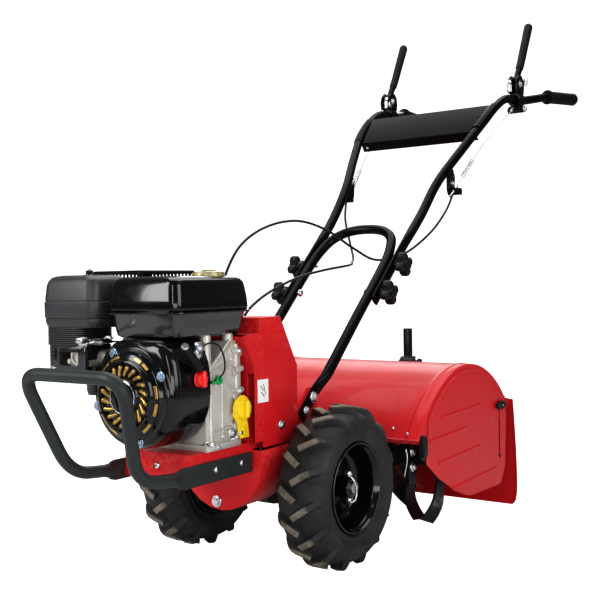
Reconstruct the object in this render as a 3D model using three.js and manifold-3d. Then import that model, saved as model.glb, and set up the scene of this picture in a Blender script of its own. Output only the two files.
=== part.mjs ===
// A walk-behind rear-tine tiller: petrol engine, belt drive, worm-driven wheels and tines.
// Millimetres, +Z up, -Y is the front of the machine, +X is its left side.
// The figures below are laid out about the point on the ground under the wheel axle;
// the whole group is moved at the end so that its origin is the middle of its footprint.
import * as THREE from "three";
import { mergeVertices } from "three/addons/utils/BufferGeometryUtils.js";
import Module from "manifold-3d";

const wasm = await Module();
wasm.setup();

// ---- driving dimensions -------------------------------------------------------------
const GAP = 0.3;
const AXLE_Z = 178; // wheel axle height, half the tyre's outside diameter
const TYRE_R = 178;
const TYRE_HALF = 57;
const TRACK = 194; // middle of each wheel from the centre plane
const RIM_R = 98.5;
const LUGS = 12; // lugs on each side of one tyre
const CRANK_Z = 408;
const BELT_Y = -100; // plane of the drive belt
const CRANK_PULLEY_R = 38;
const DRIVE_PULLEY_R = 60;
const SHAFT_Z = 236; // long drive shaft
const TINE_Y = 440;
const TINE_Z = 170;
const TINE_R = 169.5;
const HOOD_HALF = 289;
const HOOD_Y = 463;
const HOOD_Z = 130;
const SHEET = 2;
const TUBE_R = 12.5;
const LEG_X = 115;
const UPPER_X = LEG_X + 2 * TUBE_R + GAP;
const FOLD = [292, 593]; // y, z of the lower pair of handlebar knobs
const LOCK = [367, 662]; // y, z of the upper pair
const FLAP_AXIS = [716, 294];
const SHIELD_SLOT_Y = 650;

// ---- materials ----------------------------------------------------------------------
function paint(color, roughness, metalness) {
  return new THREE.MeshStandardMaterial({ color, roughness, metalness });
}
const RED = 0xb8232a;
const BLACK = 0x111213;
const SLATE = 0x2a2d2e;
const ALLOY = 0xa9a59c;
const STEEL = 0x9a9a98;

// ---- helpers ------------------------------------------------------------------------
function solid(geometry) {
  const plain = geometry.index ? geometry.toNonIndexed() : geometry.clone();
  plain.deleteAttribute("normal");
  plain.deleteAttribute("uv");
  const merged = mergeVertices(plain, 1e-4);
  return new wasm.Manifold(
    new wasm.Mesh({
      numProp: 3,
      vertProperties: merged.attributes.position.array,
      triVerts: new Uint32Array(merged.index.array),
    })
  );
}

function part(name, body, material) {
  const made = body.getMesh();
  const geometry = new THREE.BufferGeometry();
  geometry.setAttribute("position", new THREE.BufferAttribute(new Float32Array(made.vertProperties), 3));
  geometry.setIndex(new THREE.BufferAttribute(new Uint32Array(made.triVerts), 1));
  const flat = geometry.toNonIndexed();
  flat.computeVertexNormals();
  const mesh = new THREE.Mesh(flat, material);
  mesh.name = name;
  return mesh;
}

function join(list) {
  let all = list[0];
  for (const next of list.slice(1)) {
    all = all.add(next);
  }
  return all;
}

function cut(body, list) {
  let left = body;
  for (const next of list) {
    left = left.subtract(next);
  }
  return left;
}

function box(x0, x1, y0, y1, z0, z1) {
  const geometry = new THREE.BoxGeometry(x1 - x0, y1 - y0, z1 - z0);
  geometry.translate((x0 + x1) / 2, (y0 + y1) / 2, (z0 + z1) / 2);
  return solid(geometry);
}

// A round bar along one axis; a and b are the two coordinates of its centre line.
function bar(axis, r, from, to, a, b, sides = 20, r2 = r) {
  const geometry = new THREE.CylinderGeometry(r2, r, to - from, sides);
  const middle = (from + to) / 2;
  if (axis === "x") {
    geometry.rotateZ(-Math.PI / 2);
    geometry.translate(middle, a, b);
  } else if (axis === "y") {
    geometry.translate(a, middle, b);
  } else {
    geometry.rotateX(Math.PI / 2);
    geometry.translate(a, b, middle);
  }
  return solid(geometry);
}

function shapeOf(points) {
  const shape = new THREE.Shape();
  points.forEach(([a, b], i) => (i ? shape.lineTo(a, b) : shape.moveTo(a, b)));
  shape.closePath();
  return shape;
}

// An outline drawn in Y and Z, given a thickness from x0 to x1.
function plateX(points, x0, x1) {
  const geometry = new THREE.ExtrudeGeometry(shapeOf(points), { depth: x1 - x0, bevelEnabled: false });
  geometry.applyMatrix4(new THREE.Matrix4().set(0, 0, 1, x0, 1, 0, 0, 0, 0, 1, 0, 0, 0, 0, 0, 1));
  return solid(geometry);
}

// An outline drawn in X and Z, given a thickness from y0 to y1.
function plateY(points, y0, y1) {
  const flipped = points.map(([x, z]) => [x, -z]);
  const geometry = new THREE.ExtrudeGeometry(shapeOf(flipped), { depth: y1 - y0, bevelEnabled: false });
  geometry.applyMatrix4(new THREE.Matrix4().set(1, 0, 0, 0, 0, 0, 1, y0, 0, -1, 0, 0, 0, 0, 0, 1));
  return solid(geometry);
}

function roundRect(x0, x1, y0, y1, r) {
  const shape = new THREE.Shape();
  shape.moveTo(x0 + r, y0);
  shape.lineTo(x1 - r, y0);
  shape.quadraticCurveTo(x1, y0, x1, y0 + r);
  shape.lineTo(x1, y1 - r);
  shape.quadraticCurveTo(x1, y1, x1 - r, y1);
  shape.lineTo(x0 + r, y1);
  shape.quadraticCurveTo(x0, y1, x0, y1 - r);
  shape.lineTo(x0, y0 + r);
  shape.quadraticCurveTo(x0, y0, x0 + r, y0);
  return shape;
}

// A rounded block standing between z0 and z1, its top and bottom edges drawn in by bevel.
function block(x0, x1, y0, y1, z0, z1, r, bevel) {
  const inner = roundRect(x0 + bevel, x1 - bevel, y0 + bevel, y1 - bevel, Math.max(r - bevel, 3));
  const geometry = new THREE.ExtrudeGeometry(inner, {
    depth: z1 - z0 - 2 * bevel,
    bevelEnabled: true,
    bevelThickness: bevel,
    bevelSize: bevel,
    bevelSegments: 1,
    curveSegments: 2,
  });
  geometry.translate(0, 0, z0 + bevel);
  return solid(geometry);
}

// A profile of [radius, along] turned about a line parallel to X or Y.
function turned(axis, profile, a, b, segments = 24) {
  const outline = profile.map(([r, s]) => new THREE.Vector2(r, s));
  const geometry = new THREE.LatheGeometry(outline, segments);
  if (axis === "x") {
    geometry.rotateZ(-Math.PI / 2);
    geometry.translate(0, a, b);
  } else if (axis === "y") {
    geometry.translate(a, 0, b);
  } else {
    geometry.rotateX(Math.PI / 2);
    geometry.translate(a, b, 0);
  }
  const made = solid(geometry);
  return made.volume() < 0 ? solid(flippedFaces(geometry)) : made;
}

function flippedFaces(geometry) {
  const index = geometry.index.array.slice();
  for (let i = 0; i < index.length; i += 3) {
    const keep = index[i + 1];
    index[i + 1] = index[i + 2];
    index[i + 2] = keep;
  }
  const out = geometry.clone();
  out.setIndex(new THREE.BufferAttribute(index, 1));
  return out;
}

function circle(r, sides) {
  const points = [];
  for (let i = 0; i < sides; i += 1) {
    const t = (2 * Math.PI * i) / sides;
    points.push(new THREE.Vector2(r * Math.cos(t), r * Math.sin(t)));
  }
  return points;
}

// A tube swept along a curve; a bore of zero makes a plain rod.
function sweep(path, r, bore, sides) {
  const shape = new THREE.Shape(circle(r, sides));
  if (bore > 0) {
    shape.holes.push(new THREE.Path(circle(bore, 6)));
  }
  const steps = path.points.length - 1;
  return solid(new THREE.ExtrudeGeometry(shape, { steps, bevelEnabled: false, extrudePath: path }));
}

function straight(from, to) {
  return new Stations([from, to]);
}

// A path that a sweep samples at these points only, so straight runs stay single.
class Stations extends THREE.Curve {
  constructor(points) {
    super();
    this.points = points;
  }

  getPoint(t) {
    const last = this.points.length - 1;
    const i = Math.min(Math.floor(t * last + 1e-6), last - 1);
    return this.points[i].clone().lerp(this.points[i + 1], t * last - i);
  }

  getPointAt(u) {
    return this.getPoint(u);
  }

  getTangentAt(u) {
    const last = this.points.length - 1;
    const i = Math.round(u * last);
    const before = this.points[Math.max(i - 1, 0)];
    const after = this.points[Math.min(i + 1, last)];
    const into = this.points[i].clone().sub(before).normalize();
    const away = after.clone().sub(this.points[i]).normalize();
    return into.add(away).normalize();
  }
}

function smooth(points, steps) {
  const curve = new THREE.CatmullRomCurve3(
    points.map((p) => new THREE.Vector3(...p)),
    false,
    "centripetal"
  );
  return new Stations(curve.getSpacedPoints(steps));
}

// Straight runs with a rounded corner of the given reach at every inner point.
function bentPath(points, reach, bendSteps) {
  const at = points.map((p) => new THREE.Vector3(...p));
  const stations = [at[0]];
  for (let i = 1; i < at.length - 1; i += 1) {
    const into = at[i].clone().sub(at[i - 1]).normalize();
    const away = at[i + 1].clone().sub(at[i]).normalize();
    const start = at[i].clone().addScaledVector(into, -reach);
    const end = at[i].clone().addScaledVector(away, reach);
    stations.push(...new THREE.QuadraticBezierCurve3(start, at[i], end).getPoints(bendSteps));
  }
  stations.push(at[at.length - 1]);
  return new Stations(stations);
}

function turnedAboutX(body, degrees, y, z) {
  return body.translate([0, -y, -z]).rotate([degrees, 0, 0]).translate([0, y, z]);
}

function mirrored(body) {
  return body.mirror([1, 0, 0]);
}

// ---- chassis ------------------------------------------------------------------------
function chassisFrame() {
  const rail = [
    [-355, 235],
    [-355, 290],
    [62, 290],
    [62, 262],
    [-26, 262],
    [-26, 274],
    [-165.6, 274],
    [-165.6, 235],
  ];
  const pieces = [box(-86, 86, -355, -168, 287, 290), box(-88.5, 88.5, -358, -355, 235, 290)];
  pieces.push(box(-86, 86, 59, 62, 272, 290));
  for (const side of [1, -1]) {
    const plate = plateX(rail, 85.5, 88.5);
    const web = box(86, 101.9, -22, 60, 262, 265);
    const ear = plateX(
      [
        [-22, 262],
        [-22, 345],
        [20, 385],
        [48, 385],
        [60, 370],
        [60, 262],
      ],
      98.9,
      101.9
    );
    const all = join([plate, web, ear]);
    pieces.push(side > 0 ? all : mirrored(all));
  }
  const frame = join(pieces);
  const holes = [bar("y", 5, -370, -340, 0, 262, 8)];
  for (const x of [-60, 60]) {
    for (const y of [-300, -230]) {
      holes.push(bar("z", 4.5, 280, 300, x, y, 8));
    }
  }
  return part("chassis_frame", cut(frame, holes), paint(RED, 0.35, 0.1));
}

function caseOutline(inset) {
  const half = 112 - inset;
  const points = [[-half, 272 + inset]];
  for (let i = 0; i <= 12; i += 1) {
    const t = Math.PI + (Math.PI * i) / 12;
    points.push([half * Math.cos(t), 247 + half * Math.sin(t)]);
  }
  points.push([half, 272 + inset]);
  return points;
}

function transmissionCase() {
  const outer = plateY(caseOutline(0), -165, -61);
  const inner = plateY(caseOutline(2.5), -162.5, -63.5);
  const shaft = bar("y", 14, -70, -55, 0, SHAFT_Z, 16);
  const drain = bar("y", 5, -170, -160, -10, 153, 8);
  return part("transmission_case", cut(outer, [inner, shaft, drain]), paint(RED, 0.35, 0.1));
}

function beltCover() {
  const outline = [
    [-155, 277],
    [-155, 443],
    [-195, 511],
    [-195, 516],
    [-161, 517.5],
    [-161, 549],
    [-88, 550],
    [-27, 440],
    [-28, 296],
    [-61, 277],
  ];
  const hollow = [
    [-260, 200],
    [-260, 513.5],
    [-163, 515],
    [-163, 546.5],
    [-89.5, 547.3],
    [-29.5, 439.3],
    [-30.5, 296.5],
    [-63, 277],
    [-63, 200],
  ];
  const shell = cut(plateX(outline, -110, 110), [plateX(hollow, -108, 108)]);
  const notch = box(85, 89, -70, -20, 270, 290.5);
  const screw = bar("x", 3.5, -120, 120, -91, 317, 8);
  return part("belt_cover", cut(shell, [screw, notch, mirrored(notch)]), paint(RED, 0.35, 0.1));
}

function bumperGuard() {
  const path = bentPath(
    [
      [92, -388, 250],
      [88, -505, 262],
      [132, -580, 460],
      [-132, -580, 460],
      [-88, -505, 262],
      [-92, -388, 250],
    ],
    52,
    5
  );
  const loop = sweep(path, TUBE_R, 0, 10);
  const strap = [
    [-404, 240],
    [-404, 260],
    [-385, 270],
    [-172, 270],
    [-172, 229],
    [-385, 229],
  ];
  const left = plateX(strap, 88.8, 94.8);
  const holes = [bar("x", 4, -110, 110, -293, 253, 8), bar("x", 4, -110, 110, -211, 253, 8)];
  return part("bumper_guard", cut(join([loop, left, mirrored(left)]), holes), paint(SLATE, 0.6, 0.2));
}

// ---- engine -------------------------------------------------------------------------
const LEAN = 25; // the cylinder leans this far above level, towards the right side

// A block placed along the leaning cylinder: s from the crank axis, t across, y as usual.
function leaning(s0, s1, t0, t1, y0, y1) {
  return box(-s1, -s0, y0, y1, t0, t1).rotate([0, LEAN, 0]).translate([0, 0, CRANK_Z]);
}

function engineBlock() {
  const side = [
    [-312, 290.3],
    [-312, 440],
    [-286, 462],
    [-240, 505],
    [-214, 505],
    [-214, 290.3],
  ];
  const pieces = [plateX(side, -60, 88), box(-80, 96, -320, -212, 290.3, 303)];
  pieces.push(leaning(0, 108, -44, 44, -310, -216));
  for (let i = 0; i < 4; i += 1) {
    pieces.push(leaning(76 + 9 * i, 80 + 9 * i, -56, 52, -316, -212));
  }
  for (const z of [330, 392, 440, 484]) {
    pieces.push(bar("x", 7, 80, 95, -226, z, 10));
  }
  for (const [y, z] of [
    [-296, 452],
    [-226, 505],
  ]) {
    pieces.push(bar("z", 10, z - 30, z + 12, 76, y, 10));
  }
  pieces.push(bar("y", 46, -316, -300, 0, CRANK_Z, 20));
  const holes = [box(-50, 78, -300, -205, 312, 452), bar("y", 13.6, -330, -290, 0, CRANK_Z, 16)];
  holes.push(leaning(20, 120, -34, 34, -297, -229));
  return part("engine_block", cut(join(pieces), holes), paint(ALLOY, 0.5, 0.6));
}

function crankcaseCover() {
  const outline = [
    [-58, 300],
    [84, 300],
    [88, 316],
    [88, 470],
    [70, 500],
    [20, 500],
    [-50, 466],
    [-66, 440],
    [-66, 316],
  ];
  const pieces = [plateY(outline, -211.7, -200), bar("y", 40, -202, -190, 0, CRANK_Z, 20)];
  pieces.push(bar("x", 15, 70, 92, -206, 364, 14));
  for (const z of [316, 352, 402, 446, 478]) {
    pieces.push(bar("y", 7, -211.7, -192, 84, z, 10));
  }
  const holes = [bar("y", 13.6, -220, -180, 0, CRANK_Z, 16), bar("x", 8.5, 60, 100, -206, 364, 12)];
  const fitted = join(pieces).intersect(box(-90, 96, -211.7, -180, 303.4, 510));
  return part("crankcase_cover", cut(fitted, holes), paint(ALLOY, 0.5, 0.6));
}

function cylinderHead() {
  const pieces = [leaning(108.3, 150, -42, 42, -308, -218)];
  for (let i = 0; i < 4; i += 1) {
    pieces.push(leaning(113 + 10 * i, 117 + 10 * i, -56, 52, -318, -210));
  }
  pieces.push(leaning(148, 154, -43, 41, -307, -219), leaning(152, 174, -38, 36, -302, -224));
  const chamber = leaning(100, 118, -30, 30, -293, -233);
  return part("cylinder_head", cut(join(pieces), [chamber]), paint(ALLOY, 0.5, 0.6));
}

function fanCover() {
  const rise = [
    [-104, 408],
    [-92, 470],
    [-60, 512],
    [70, 512],
    [98, 480],
    [104, 408],
  ];
  const rise2 = [
    [-101, 408],
    [-89, 469],
    [-58.5, 509],
    [69, 509],
    [95, 479],
    [101, 408],
  ];
  const drum = turned(
    "y",
    [
      [0, -430],
      [92, -430],
      [102, -420],
      [105, -400],
      [105, -316.3],
      [0, -316.3],
    ],
    0,
    CRANK_Z,
    24
  );
  const hollow = turned(
    "y",
    [
      [0, -427],
      [90, -427],
      [99.5, -418],
      [102, -399],
      [102, -300],
      [0, -300],
    ],
    0,
    CRANK_Z,
    24
  );
  const outer = join([drum, plateY(rise, -404, -316.3)]);
  const inner = join([hollow, plateY(rise2, -401, -300)]);
  const mouth = bar("y", 86, -440, -420, 0, CRANK_Z, 32);
  const base = box(-120, 120, -440, -300, 280, 304.5);
  return part("fan_cover", cut(outer, [inner, mouth, base]), paint(BLACK, 0.2, 0.3));
}

function recoilCover() {
  const dish = turned(
    "y",
    [
      [0, -450],
      [42, -449],
      [82, -446],
      [94, -430.3],
      [90, -430.3],
      [82, -441],
      [0, -443],
    ],
    0,
    CRANK_Z,
    24
  );
  const slots = [];
  for (let i = 0; i < 18; i += 1) {
    const slot = box(-4, 4, -460, -436, 51, 77).rotate([0, 14, 0]).translate([6, 0, 0]);
    slots.push(slot.rotate([0, 20 * i, 0]).translate([0, 0, CRANK_Z]));
  }
  return part("recoil_cover", cut(dish, slots), paint(BLACK, 0.25, 0.3));
}

function airScreen() {
  const ring = turned(
    "y",
    [
      [44, -437.5],
      [83, -437.5],
      [83, -435.5],
      [44, -435.5],
      [44, -437.5],
    ],
    0,
    CRANK_Z,
    24
  );
  return part("air_screen", ring, paint(0xb08a35, 0.4, 0.7));
}

function starterHandle() {
  const grip = block(-9, 9, -24, 24, -8, 8, 8, 4).rotate([62, 0, 0]);
  const neck = bar("x", 4, -12, 0, 0, 0, 8);
  const all = join([grip, neck]).translate([119, -372, 470]);
  return part("starter_handle", all, paint(BLACK, 0.5, 0));
}

function crankshaft() {
  const shaft = bar("y", 12.5, -404, -84, 0, CRANK_Z, 12);
  const pieces = [shaft];
  for (const y of [-288, -246]) {
    pieces.push(box(-20, 20, y - 8, y + 8, CRANK_Z - 38, CRANK_Z + 30));
  }
  pieces.push(bar("y", 14, -288, -246, 0, CRANK_Z + 16, 10));
  return part("crankshaft", join(pieces), paint(STEEL, 0.35, 0.9));
}

function flywheel() {
  const wheel = turned(
    "y",
    [
      [12.9, -392],
      [30, -392],
      [34, -384],
      [84, -380],
      [84, -340],
      [72, -340],
      [70, -366],
      [12.9, -366],
      [12.9, -392],
    ],
    0,
    CRANK_Z,
    18
  );
  const blades = [];
  for (let i = 0; i < 6; i += 1) {
    blades.push(box(-1.5, 1.5, -404, -380, 46, 82).rotate([0, 60 * i, 0]).translate([0, 0, CRANK_Z]));
  }
  return part("flywheel", join([wheel, ...blades]), paint(ALLOY, 0.5, 0.6));
}

function vPulley(name, r, z) {
  const sheave = turned(
    "y",
    [
      [12.9, BELT_Y - 14],
      [22, BELT_Y - 14],
      [22, BELT_Y - 10.5],
      [r, BELT_Y - 10.5],
      [r - 11, BELT_Y - 5],
      [r - 11, BELT_Y + 5],
      [r, BELT_Y + 10.5],
      [22, BELT_Y + 10.5],
      [22, BELT_Y + 14],
      [12.9, BELT_Y + 14],
      [12.9, BELT_Y - 14],
    ],
    0,
    z,
    16
  );
  return part(name, sheave, paint(STEEL, 0.5, 0.8));
}

function beltLoop(grow) {
  const low = DRIVE_PULLEY_R - 10 + grow;
  const high = CRANK_PULLEY_R - 10 + grow;
  const span = CRANK_Z - SHAFT_Z;
  const tilt = Math.asin((low - high) / span);
  const points = [];
  for (let i = 0; i <= 14; i += 1) {
    const t = Math.PI - tilt + ((Math.PI + 2 * tilt) * i) / 14;
    points.push([low * Math.cos(t), SHAFT_Z + low * Math.sin(t)]);
  }
  for (let i = 0; i <= 10; i += 1) {
    const t = tilt + ((Math.PI - 2 * tilt) * i) / 10;
    points.push([high * Math.cos(t), CRANK_Z + high * Math.sin(t)]);
  }
  return points;
}

function driveBelt() {
  const outer = plateY(beltLoop(8.5), BELT_Y - 4.4, BELT_Y + 4.4);
  const inner = plateY(beltLoop(0), BELT_Y - 10, BELT_Y + 10);
  return part("drive_belt", outer.subtract(inner), paint(0x151515, 0.9, 0));
}

function idlerArm() {
  const arm = plateY(
    [
      [94, 352],
      [104, 352],
      [104, 306],
      [98, 292],
      [76, 292],
      [72, 306],
      [82, 312],
      [92, 320],
    ],
    -128,
    -123
  );
  const pin = bar("y", 5, -128, -89, 82, 302, 12);
  return part("idler_arm", join([arm, pin]), paint(STEEL, 0.5, 0.7));
}

function fuelTank() {
  const top = block(-92, 94, -401, -171, 560, 628, 26, 16);
  const flange = block(-98, 100, -407, -165, 564, 568, 30, 1);
  const low = block(-86, 90, -394, -180, 521, 572, 26, 12);
  const inner = join([
    block(-89, 91, -398, -174, 563, 625, 24, 15),
    block(-83, 87, -391, -183, 524, 569, 24, 11),
  ]);
  const neck = bar("z", 24, 618, 632, 46, -246, 16);
  const filler = bar("z", 20, 600, 640, 46, -246, 16);
  const shell = cut(join([top, flange, low, neck]), [inner, filler]);
  return part("fuel_tank", shell, paint(BLACK, 0.15, 0.2));
}

function fuelCap() {
  const cap = turned(
    "z",
    [
      [0, 0],
      [19, 0],
      [19, 8],
      [25, 8],
      [25, 4],
      [31, 4],
      [32, 8],
      [32, 16],
      [28, 20],
      [0, 20],
    ],
    0,
    0,
    18
  );
  return part("fuel_cap", cap.translate([46, -246, 624.6]), paint(0xb9ad85, 0.35, 0.6));
}

function airCleanerCover() {
  const outer = block(-250, -106, -422, -302, 539, 643, 24, 14);
  const inner = block(-246, -110, -418, -306, 520, 638, 20, 12);
  const below = box(-260, -90, -430, -290, 500, 555);
  const stud = bar("z", 4.5, 630, 650, -178, -362, 8);
  return part("air_cleaner_cover", cut(outer, [inner, below, stud]), paint(SLATE, 0.6, 0));
}

function airCleanerBase() {
  const tray = block(-248, -108, -420, -304, 530, 554.7, 22, 4);
  const neck = block(-240, -150, -416, -320, 500, 540, 16, 4);
  const stud = bar("z", 4, 550, 652, -178, -362, 8);
  const duct = bar("z", 12, 494, 548, -178, -362, 12);
  const bowl = block(-240, -116, -412, -312, 536, 570, 20, 4);
  const shell = cut(join([tray, neck]), [bowl, duct]);
  const bridge = box(-240, -116, -366, -358, 545, 553);
  return part("air_cleaner_base", join([shell, bridge, stud]), paint(BLACK, 0.6, 0));
}

function carburettor() {
  const body = block(-206, -150, -392, -332, 452, 499.7, 8, 3);
  const throat = bar("x", 17, -150.5, -118, -356, 474, 14);
  const bowl = bar("z", 20, 424, 454, -178, -366, 16, 22);
  const bolt = bar("z", 5, 415, 426, -178, -366, 6);
  const screw = bar("y", 5, -402, -390, -160, 486, 8);
  const duct = bar("z", 10, 480, 510, -178, -362, 10);
  return part("carburettor", cut(join([body, throat, bowl, bolt, screw]), [duct]), paint(ALLOY, 0.5, 0.6));
}

function throttleLever() {
  const plate = block(-108, -92, -452, -380, 513.5, 516.5, 5, 1);
  const knob = block(-110, -90, -468, -444, 509, 521, 6, 3);
  return part("throttle_lever", join([plate, knob]), paint(STEEL, 0.3, 0.8));
}

function muffler() {
  const can = block(-238, -120, -270, -132, 566, 638, 20, 10);
  const pipe = block(-170, -140, -234, -206, 540, 570, 8, 2);
  const outlet = bar("y", 11, -140, -116, -200, 600, 12);
  const inner = block(-234, -124, -266, -136, 570, 634, 18, 9);
  const through = bar("y", 8, -180, -100, -200, 600, 10);
  return part("muffler", cut(join([can, pipe, outlet]), [inner, through]), paint(STEEL, 0.5, 0.7));
}

function mufflerGuard() {
  const outer = block(-252, -103, -288, -112, 556, 652, 10, 4);
  const inner = block(-249.5, -105.5, -285.5, -114.5, 530, 649.5, 8, 3);
  const below = box(-270, -90, -300, -100, 540, 566);
  const slots = [];
  for (let i = 0; i < 4; i += 1) {
    const y = -264 + 38 * i;
    slots.push(box(-234, -122, y, y + 16, 640, 660));
    slots.push(box(-260, -90, y, y + 20, 612, 640));
  }
  for (let i = 0; i < 3; i += 1) {
    const x = -232 + 42 * i;
    slots.push(box(x, x + 24, -300, -100, 612, 640));
  }
  return part("muffler_guard", cut(outer, [inner, below, ...slots]), paint(BLACK, 0.4, 0.3));
}

function ignitionSwitch() {
  const base = box(104.9, 110, -366, -342, 427, 451);
  const knob = bar("x", 10, 109, 122, -354, 439, 12);
  const wing = box(112, 125, -358, -350, 427, 451);
  return part("ignition_switch", join([base, knob, wing]), paint(0xd01c1c, 0.35, 0));
}

function oilDipstick() {
  const stem = bar("x", 6, 60, 94, -206, 364, 10);
  const cap = bar("x", 17, 92.4, 104, -206, 364, 14);
  const grip = box(100, 110, -210, -202, 350, 378);
  const tag = plateX(
    [
      [-214, 362],
      [-198, 362],
      [-200, 330],
      [-194, 304],
      [-218, 304],
      [-216, 330],
    ],
    96.5,
    99
  );
  return part("oil_dipstick", join([stem, cap, grip, tag]), paint(0xf0c010, 0.4, 0));
}

// ---- drive line ---------------------------------------------------------------------
function gearcase() {
  const pieces = [bar("x", 58, -32, 32, 0, AXLE_Z, 20), bar("x", 24, -85.2, 85.2, 0, AXLE_Z, 12)];
  pieces.push(bar("y", 28, -58, 62, 0, SHAFT_Z, 16));
  for (const x of [-68, 54]) {
    pieces.push(box(x, x + 14, -18, 40, 250, 286.7));
  }
  pieces.push(box(-68, 68, -12, 34, 222, 262));
  const holes = [bar("x", 52, -26, 26, 0, AXLE_Z, 16), bar("x", 14.4, -90, 90, 0, AXLE_Z, 12)];
  holes.push(bar("y", 21, -60, 70, 0, SHAFT_Z, 12));
  return part("gearcase", cut(join(pieces), holes), paint(BLACK, 0.5, 0.3));
}

function driveShaft() {
  const shaft = bar("y", 12.5, -122, 466, 0, SHAFT_Z, 16);
  const pieces = [shaft];
  for (const middle of [0, TINE_Y]) {
    pieces.push(bar("y", 18, middle - 22, middle + 22, 0, SHAFT_Z, 16));
  }
  return part("drive_shaft", join(pieces), paint(STEEL, 0.35, 0.9));
}

function wormWheel(y, z, tip, root, width, teeth) {
  const points = [];
  for (let i = 0; i < teeth; i += 1) {
    const step = (2 * Math.PI) / teeth;
    const marks = [
      [root, -0.42],
      [tip, -0.2],
      [tip, 0.2],
      [root, 0.42],
    ];
    for (const [r, f] of marks) {
      const t = step * (i + f);
      points.push([y + r * Math.cos(t), z + r * Math.sin(t)]);
    }
  }
  return plateX(points, -width / 2, width / 2);
}

function wheelAxle() {
  const rod = bar("x", 13.2, -238, 238, 0, AXLE_Z, 12);
  const wheel = wormWheel(0, AXLE_Z, 38.8, 33, 22, 12);
  const pins = [bar("z", 4.4, 100, 260, 221, 0, 8), bar("z", 4.4, 100, 260, -221, 0, 8)];
  return part("wheel_axle", cut(join([rod, wheel]), pins), paint(STEEL, 0.4, 0.9));
}

function wheelRim(side) {
  const x = TRACK;
  const barrel = turned(
    "x",
    [
      [RIM_R, x + 49],
      [90, x + 42],
      [78, x + 8],
      [78, x - 8],
      [90, x - 42],
      [RIM_R, x - 49],
      [86, x - 45],
      [75, x - 12],
      [42, x - 16],
      [14.2, x - 16],
      [14.2, x - 12],
      [40, x - 12],
      [75, x],
      [86, x + 45],
      [RIM_R, x + 49],
    ],
    0,
    AXLE_Z,
    20
  );
  const hub = turned(
    "x",
    [
      [14.2, x - 46],
      [23, x - 46],
      [23, x + 38],
      [14.2, x + 38],
      [14.2, x - 46],
    ],
    0,
    AXLE_Z,
    12
  );
  const holes = [bar("z", 4.4, 100, 260, 221, 0, 8)];
  const rim = cut(join([barrel, hub]), holes);
  const name = side > 0 ? "rim_left" : "rim_right";
  return part(name, side > 0 ? rim : mirrored(rim), paint(BLACK, 0.3, 0.4));
}

function tyre(side) {
  const x = TRACK;
  const carcass = turned(
    "x",
    [
      [99, x + 46.5],
      [120, x + 52.5],
      [146, x + 50],
      [162, x + 30],
      [162, x - 30],
      [146, x - 50],
      [120, x - 52.5],
      [99, x - 46.5],
      [91, x - 36],
      [140, x - 36],
      [152, x],
      [140, x + 36],
      [91, x + 36],
      [99, x + 46.5],
    ],
    0,
    AXLE_Z,
    24
  );
  // One tread bar, drawn across the tyre and set at a slant.
  const lug = plateY(
    [
      [-5, 156],
      [-5, TYRE_R - 0.6],
      [32, TYRE_R - 1.2],
      [TYRE_HALF, 154],
      [46, 140],
    ],
    -5,
    6
  )
    .rotate([0, 0, 30])
    .translate([0, -16, 0]);
  const lugs = [];
  for (let i = 0; i < LUGS; i += 1) {
    const near = lug.rotate([(360 / LUGS) * i, 0, 0]);
    const far = mirrored(lug).rotate([(360 / LUGS) * (i + 0.5), 0, 0]);
    lugs.push(near.translate([x, 0, AXLE_Z]));
    lugs.push(far.translate([x, 0, AXLE_Z]));
  }
  const all = join([carcass, ...lugs]);
  const name = side > 0 ? "tyre_left" : "tyre_right";
  return part(name, side > 0 ? all : mirrored(all), paint(0x1b1b1b, 0.9, 0));
}

function tineGearcase() {
  const drum = bar("x", 60, -30, 30, TINE_Y, TINE_Z, 20);
  const tunnel = bar("y", 34, 370, 500, 0, SHAFT_Z, 14);
  const foot = box(-24, 24, 405, 475, 258, 272);
  const tube = bar("y", 30, 62.3, 380, 0, SHAFT_Z, 12);
  const flange = bar("y", 40, 62.3, 70, 0, SHAFT_Z, 12);
  const holes = [bar("x", 52, -24, 24, TINE_Y, TINE_Z, 14), bar("x", 14.4, -40, 40, TINE_Y, TINE_Z, 10)];
  holes.push(bar("y", 22, 50, 480, 0, SHAFT_Z, 10));
  const shell = cut(join([drum, tunnel, foot, tube, flange]), holes);
  return part("tine_gearcase", shell, paint(BLACK, 0.5, 0.3));
}

function tineShaft() {
  const rod = bar("x", 13.2, -266, 266, TINE_Y, TINE_Z, 12);
  const wheel = wormWheel(TINE_Y, TINE_Z, 46.8, 40, 22, 12);
  return part("tine_shaft", join([rod, wheel]), paint(STEEL, 0.4, 0.9));
}

function tineBlade(x, hand) {
  const arm = plateX(
    [
      [-15, 20],
      [15, 20],
      [18, 90],
      [2, TINE_R - 1.5],
      [-26, TINE_R - 8],
      [-16, 90],
    ],
    x,
    x + 6
  );
  const foot = plateX(
    [
      [2, 152],
      [3, TINE_R - 1.5],
      [-26, TINE_R - 8],
      [-24, 148],
    ],
    hand > 0 ? x : x - 36,
    hand > 0 ? x + 42 : x + 6
  );
  return join([arm, foot]);
}

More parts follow.
